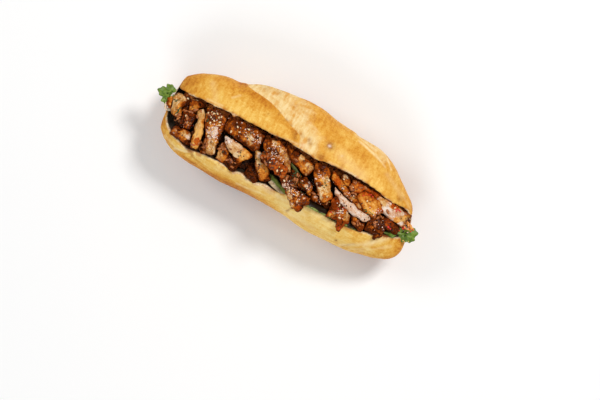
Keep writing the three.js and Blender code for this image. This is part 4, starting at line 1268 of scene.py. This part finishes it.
def laid_bits(node, given, bit):
    """A copy of the bit on each point, standing on the surface and turned along its heading."""
    facing, heading, size = [
        node("GeometryNodeInputNamedAttribute", {"Name": name}, data_type=kind)[0]
        for name, kind in (("facing", "FLOAT_VECTOR"), ("heading", "FLOAT_VECTOR"), ("size", "FLOAT"))
    ]
    align = "FunctionNodeAlignRotationToVector"
    upright = node(align, {"Vector": facing}, axis="Z")[0]
    turned = node(align, {"Rotation": upright, "Vector": heading}, axis="X", pivot_axis="Z")[0]
    laid = {"Points": given["Geometry"], "Instance": bit, "Rotation": turned, "Scale": size}
    return node("GeometryNodeInstanceOnPoints", laid)[0]


def bits_tree():
    """Geometry nodes that stand a small rounded bit on every point, turned and sized as stored."""
    tree = bpy.data.node_groups.new("small_bits", "GeometryNodeTree")
    kinds = {"Geometry": "Geometry", "Facets": "Int", "Material": "Material"}
    for name in ("Geometry", "Length", "Width", "Height", "Point", "Facets", "Material"):
        kind = "NodeSocket" + kinds.get(name, "Float")
        tree.interface.new_socket(name, in_out="INPUT", socket_type=kind)
    tree.interface.new_socket("Geometry", in_out="OUTPUT", socket_type="NodeSocketGeometry")

    def node(kind, sockets=None, **settings):
        return add_node(tree, kind, sockets, **settings).outputs

    given = node("NodeGroupInput")
    real = node("GeometryNodeRealizeInstances", {0: laid_bits(node, given, bit_shape(node, given))})
    dressed = node("GeometryNodeSetMaterial", {"Geometry": real[0], "Material": given["Material"]})
    node("NodeGroupOutput", {0: dressed[0]})
    return tree


def bits(name, spots, slot, material, size, point=0.0, facets=8):
    """One piece of many small bits, of this length, width and height and more or less pointed. A spot
    is a bit's place, the normal of the surface there, the bit's turn and its own share of the size."""
    piece = made(name, [spot for spot, *_ in spots], [])
    store(piece, "facing", [facing for _, facing, *_ in spots])
    store(piece, "heading", [(math.cos(turn), math.sin(turn), 0.01) for _, _, turn, _ in spots])
    store(piece, "size", [share for *_, share in spots])
    modifier = piece.modifiers.new("bits", "NODES")
    modifier.node_group = BITS_TREE
    given = {"Point": point, "Facets": facets, "Material": material}
    given.update((side, reach * MM) for side, reach in zip(("Length", "Width", "Height"), size))
    for item in BITS_TREE.interface.items_tree:
        if item.in_out == "INPUT" and item.name in given:
            modifier[item.identifier] = given[item.name]
    finish_piece(worked_in(piece), material, slot)


BITS_TREE = bits_tree()


class Surfaces:
    """Pieces that small things are dropped onto from above."""

    def __init__(self, pieces):
        graph = bpy.context.evaluated_depsgraph_get()
        self.trees = [(piece.name, BVHTree.FromObject(piece, graph)) for piece in pieces]

    def under(self, x, y):
        """The name, point and normal of what lies highest at x, y, or None."""
        best = None
        for name, tree in self.trees:
            spot, normal, _, _ = tree.ray_cast(Vector((x * MM, y * MM, DROP_HEIGHT)), Vector((0, 0, -1)))
            if spot and (best is None or spot.z > best[1].z):
                best = (name, spot, normal)
        return best


SEEDS = [
    (-99.2, 3.4), (-93.3, -10.2), (-78, 0.5), (-75.8, 2.7), (-73.3, 2.3), (-70.9, 3.6), (-68.3, 1),
    (-66.8, 2.6), (-65.8, -1.9), (-70.3, -3.1), (-74.1, -1.5), (-72.6, -6), (-64.8, -4.4), (-67.2, -8.2),
    (-71.2, -10.4), (-66.2, -12.6), (-69, -16.4), (-63.6, -18.6), (-50.7, 1.5), (-53.8, -4.6), (-41.5, 3.8),
    (-47.4, -1.9), (-12.4, 3.2), (-4.8, -15.7), (-1.6, -14), (-13.2, -12.2), (4.2, -20.4), (11.6, -26),
    (19.4, -25), (21.4, -30.6), (36.8, -3), (41.6, -15.4), (54.1, -17.5), (57, -20.8), (58.7, -26.5),
    (62.6, -20.6), (73, -3.4), (96.2, 2.2), (57, 1.3), (47.4, 3.4),
]
GOLDEN_ANGLE = math.pi * (3 - math.sqrt(5))
# Bits at their very places: x, y, turn and size.
CHILLI_BITS = [
    (110, -9, 1.2, 1.7), (110.6, -10, 0.3, 1.2), (114, -6.4, 0.5, 0.8), (116.2, -7.6, 1, 0.8),
    (117.4, -9.2, 0.2, 0.8), (118.4, -7, 0.8, 0.8), (73.4, 2.4, 0.2, 1.1), (75.4, 1.8, 0.6, 0.9),
    (72, 1.6, 1.4, 0.7), (68.2, -1, 0.4, 0.8), (97.4, 1.6, 0.5, 1.2), (99.8, 2.2, 0.3, 1.2),
    (98.6, 0.4, 1, 0.9), (101.6, 1.6, 0.2, 0.9), (98.6, -14.4, -0.4, 1.3), (100.8, -15, -0.3, 1.1),
    (50.7, -25.7, 0.8, 0.8), (-76.2, -28.6, 0.5, 0.8), (58, -17.6, 0.8, 0.7), (63, -34, 1.2, 0.8),
    (54.6, -20.6, 0.1, 0.7), (108.4, -13, 0.4, 0.6), (-85.4, -15, 0.9, 0.6),
]
# White bits, partly painted glints on the glaze.
WHITE_BITS = [
    (112.4, -7.4, 0.3, 1.1), (113.6, -8.6, 0.9, 1.1), (114.8, -6.8, 0.1, 0.9), (115.6, -11, 0.7, 1.2),
    (111.6, -6.2, 1.2, 0.9), (112.8, -10, 0.4, 0.8), (109.6, -6.6, 0.8, 0.7), (84, -8.4, 1, 1.2),
    (86, -7.6, 1.2, 1), (83, -11.2, 0.9, 1.1), (77.4, -7.2, 0.4, 1), (87.6, -9.6, 1.3, 0.9),
    (26.4, -6.8, 0.6, 1.3), (28.6, -4.4, 0.4, 1), (24.8, -9, 0.9, 0.9), (6, -22.4, 1, 1.2),
    (8.4, -24.4, 0.4, 1.2), (10.6, -23.8, 0.1, 1.2), (13, -24.4, 0.2, 1), (17.6, -13.6, 0.2, 1.1),
    (58, -24.6, 0.7, 1.2), (59.6, -26.6, 1.2, 1.4), (51.6, -16.6, 0.7, 1), (41, -2.4, 0.2, 1),
]
YELLOW_BITS = [
    (115.4, -18.8, 0.4, 1.1), (116.8, -19.4, 0.9, 0.8), (119.6, -17.4, 0.2, 0.8), (45.4, -18.8, 0.5, 1.1),
    (114.6, -4.4, 0.3, 0.9), (117.4, -5.8, 1, 0.8), (-4.6, -12.2, 0.3, 0.8),
]
HERB_BITS = [
    (-106.4, -2, 0.8, 1.3), (-105.2, -1.2, 0.2, 0.9), (-100.4, -6.2, 0.7, 1.2), (-101.2, -7.4, 1.3, 1.3),
    (-101.6, -8.8, 1.5, 1.5), (-101.4, -10.4, 1.7, 1.4), (-102, -11.8, 1.2, 1.3), (-97.4, -15, 0.3, 1.2),
    (-96.6, -14, 1.1, 0.8), (9.4, -10.4, 1.2, 1.8), (10.8, -12, 1.5, 1.8), (8.6, -13.6, 0.4, 1.5),
    (12, -14.2, 0.9, 1.6), (14.4, -16, 0.2, 1.3), (10, -16.4, 0.7, 1.2), (17, -15.2, 0.4, 1.2),
    (76, -11.6, 0.5, 1.7), (78.4, -13, 0.9, 1.5), (74.2, -11, 0.2, 1.2), (80, -12.2, 0.6, 1),
    (-50.6, -6.8, 0.5, 1), (-75.8, -6, 0.9, 1), (-72, -18, 1.3, 1), (21, -22.4, 0.5, 1.1),
    (23.6, -22.8, 0.9, 0.9), (62, -6, 0.4, 1), (-24.6, -15.4, 1, 1.1), (47.4, 3.4, 0.5, 1),
    (105, -3.2, 0.3, 0.8), (-52, -22.6, 0.8, 1.2),
]
# Herbs, flakes of fat and garlic that are partly painted glints, char and loose meat in clusters on the
# pork: x, y, radius and count.
FLECK_CLUSTERS = [
    (-106.6, -1.9, 3, 6), (-101.3, -9, 4, 6), (-97.5, -15, 3, 6), (10, -15.5, 7, 6), (12, -18, 6, 6),
    (78, -11, 5, 6), (-75, -5.6, 2, 6), (-38, -17, 3, 6), (60, -6, 5, 6), (22, -17, 4, 6), (-20, -8, 3, 6),
    (36, -8, 3, 6),
]
PALE_CLUSTERS = [
    (-67, -10, 6, 46), (-64, -16, 5, 26), (-70, 0, 7, 14), (-40, 2, 11, 26), (-32, 0, 5, 12),
    (-14, 0, 8, 26), (-15, -7, 3, 12), (-8, -6, 7, 22), (8, -21, 4, 16), (15, -25, 4, 18), (21, -28, 6, 16),
    (24, -14, 5, 12), (30, -4, 6, 14), (36, -22, 3, 6), (57, -22, 5, 22), (84, -8, 4, 16), (60, -7, 6, 10),
    (90, -18, 6, 8), (-90, -14, 5, 8), (-53, -12, 6, 8),
]
CHAR_CLUSTERS = [
    (-90, -13, 6, 40), (-72, 1, 7, 30), (-45, 0, 12, 40), (-18, -3, 8, 34), (-10, -13, 8, 44),
    (10, -22, 6, 30), (22, -28, 7, 30), (26, -15, 6, 20), (28, 2, 6, 26), (52, -1, 8, 20), (58, -20, 7, 26),
    (72, -8, 6, 8), (90, -16, 8, 40), (98, -13, 7, 20), (-96, -2, 5, 16), (-52, -20, 5, 14),
    (-44, -26, 5, 16), (-20, -25, 7, 24), (10, -17, 5, 20), (-94, -26, 6, 14), (4, -2, 9, 16),
]
SCRAP_CLUSTERS = [
    (-90, -8, 8, 14), (-70, -26, 6, 16), (-54, -20, 5, 8), (-40, -28, 8, 8), (-20, -16, 6, 8),
    (12, -16, 6, 14), (34, -20, 8, 10), (58, -2, 5, 8), (74, -24, 6, 8), (88, -12, 7, 10), (-76, 4, 16, 10),
    (0, 5, 20, 12), (60, 5, 20, 14), (-100, -14, 5, 8),
]


def lie(found, turn, size, lift):
    """The spot of a bit on what was found under it, raised a little off the surface."""
    _, spot, normal = found
    return (np.array(spot) / MM + np.array(normal) * lift, tuple(normal), turn, size)


def placed_spots(surfaces, places, lift=0.2):
    """Spots at their very places, each x, y, turn and size, on whatever lies highest there."""
    dropped = [(surfaces.under(x, y), turn, size) for x, y, turn, size in places]
    return [lie(*spot, lift) for spot in dropped if spot[0]]


def found_on_pork(surfaces, clusters, random, least_level):
    """What lies under random places in each cluster, where it is pork and level enough."""
    for x, y, radius, count in clusters:
        for _ in range(count):
            off = random.normal(0, 0.5 * radius, 2)
            found = surfaces.under(x + off[0], y + off[1])
            if found and found[0].startswith("pork") and found[2].z > least_level:
                yield found


def fleck_spots(surfaces, clusters, seed):
    random = np.random.default_rng(seed)
    flecks = found_on_pork(surfaces, clusters, random, 0.3)
    return [lie(found, random.uniform(0, 6), random.uniform(0.5, 1.3), 0.08) for found in flecks]


def strewn_spots(surfaces, clusters, seed, least=0.5, most=1.2):
    """Spots in the clusters with sizes from least to most."""
    random = np.random.default_rng(seed)
    spots = []
    for found in found_on_pork(surfaces, clusters, random, 0.2):
        size = random.uniform(least, most)
        spots.append(lie(found, random.uniform(0, 6), size, 0.05))
    return spots


def plain_finish(name, first, second, roughness, grain=0.6):
    f = Finish(name)
    colour = f.ramp(f.noise(grain, detail=2) * 1.4 + 0.5, [(0.2, *first), (0.8, *second)])
    return f.surface(colour, roughness, Specular_IOR_Level=0.5)


# ------------------------------------------------------------------ putting it together

def lay_floor():
    corners = [(-1, -1, 0), (1, -1, 0), (1, 1, 0), (-1, 1, 0)]
    floor = made("floor", np.array(corners) * FLOOR_REACH, [(0, 1, 2, 3)])
    finish = Finish("pale_floor").surface(srgb(250, 250, 250), 0.8, Specular_IOR_Level=0.1)
    floor.data.materials.append(finish)


def add_pork():
    """The slices, and the sauced pork beneath them."""
    finish = pork_finish()
    slices = []
    for number in SLICE_LOOKS:
        slices.append(pork_slice(number))
        finish_piece(slices[-1], finish, "grilled_pork", "pork_slice_" + number)
    layer, _ = meat("pork_layer", "pork_beneath", voxel=0.8, torn=1.6, seed=50)
    # lidward: where the layer's colour is lifted as painted light against the lid's shadow.
    store(layer, "lidward", rise(0, 6, points_of(layer)[:, 1]))
    finish_piece(layer, layer_finish(), "pork_layer", "pork_layer")
    return [layer, *slices]


def add_coriander():
    leaf = leaf_finish()
    stalk = plain_finish("coriander_stalk", (92, 120, 44), (140, 160, 76), 0.4)
    pieces = []
    for node, sprig in CORIANDER.items():
        pieces.append(leaf_cluster(node + "_leaves", sprig["leaves"]))
        finish_piece(pieces[-1], leaf, "coriander", node)
        pieces.append(strand(node + "_stalk", [sprig["stalk"]], STALK_RADIUS))
        finish_piece(pieces[-1], stalk, "coriander")
    return pieces


def add_shreds():
    finishes = {
        "carrot": pickle_finish("pickled_carrot", (226, 124, 32), (246, 176, 84)),
        "daikon": pickle_finish("pickled_daikon", (226, 190, 152), (244, 226, 200)),
    }
    pieces = []
    for node, paths in SHREDS.items():
        slot = node.split("_")[0]
        pieces.append(strand(node + "_fresh", paths, SHRED_RADIUS, square=0.12))
        finish_piece(pieces[-1], finishes[slot], slot, node)
    return pieces


def add_cucumber():
    finish = cucumber_finish()
    for number in CUCUMBER_LOOKS:
        finish_piece(cucumber_strip(number), finish, "cucumber", f"cucumber_strip_{number}")


def add_sprinkles(surfaces):
    """Seeds, char and scraps on the roll and the pork, and the places of the pale flakes there, which are
    partly painted glints.
    """
    seeds = [(x, y, i * GOLDEN_ANGLE, 1 + 0.12 * math.sin(i * 1.7)) for i, (x, y) in enumerate(SEEDS)]
    sesame = plain_finish("toasted_sesame", (214, 168, 100), (252, 232, 192), 0.35, grain=1.6)
    char = plain_finish("char_flakes", (26, 9, 3), (106, 42, 10), 0.5, grain=1.2)
    scrap = plain_finish("pork_scraps", (104, 42, 12), (206, 122, 52), 0.4, grain=1.6)
    seeds = placed_spots(surfaces, seeds, lift=0.3)
    chars = strewn_spots(surfaces, CHAR_CLUSTERS, seed=12)
    scraps = strewn_spots(surfaces, SCRAP_CLUSTERS, seed=13, least=0.6, most=1.6)
    bits("sesame_seeds", seeds, "grilled_pork", sesame, (2.4, 1.5, 0.9), point=0.7)
    bits("char_flakes_on_pork", chars, "grilled_pork", char, (1.7, 1.0, 0.5), facets=6)
    bits("pork_scraps", scraps, "grilled_pork", scrap, (3.6, 1.6, 1.5))
    return strewn_spots(surfaces, PALE_CLUSTERS, seed=11)


def add_flecks(surfaces, flakes):
    """Flakes, partly painted glints, herbs, chilli and crumbs, which may also lie on the greens and the
    shreds.
    """
    garlic = plain_finish("garlic_and_fat_flakes", (226, 160, 100), (254, 238, 230), 0.3, grain=1.2)
    herb = plain_finish("herb_flecks", (22, 38, 8), (62, 86, 26), 0.5)
    chilli = plain_finish("chilli_flecks", (186, 20, 8), (240, 56, 26), 0.3)
    crumb = plain_finish("golden_crumbs", (222, 160, 60), (250, 214, 120), 0.6)
    flakes = flakes + placed_spots(surfaces, WHITE_BITS)
    flecks = fleck_spots(surfaces, FLECK_CLUSTERS, seed=7) + placed_spots(surfaces, HERB_BITS)
    chillies = placed_spots(surfaces, CHILLI_BITS)
    crumbs = placed_spots(surfaces, YELLOW_BITS)
    # Pale flakes of garlic and fat, partly painted glints.
    bits("pale_flakes", flakes, "grilled_pork", garlic, (1.5, 0.9, 0.5), facets=6)
    bits("herb_flecks", flecks, "coriander", herb, (1.5, 0.8, 0.5))
    bits("chilli_flecks", chillies, "grilled_pork", chilli, (2.4, 1.4, 0.7))
    bits("golden_crumbs", crumbs, "bread_crust", crumb, (1.6, 1.2, 1.0))


lay_floor()
roll = bread_roll()
finish_piece(roll, crust_finish(), "bread_crust", "bread_roll")
pork = add_pork()
greens = add_coriander() + add_shreds()
add_cucumber()
loose = add_sprinkles(Surfaces([roll, *pork]))
add_flecks(Surfaces([roll, *pork, *greens]), loose)
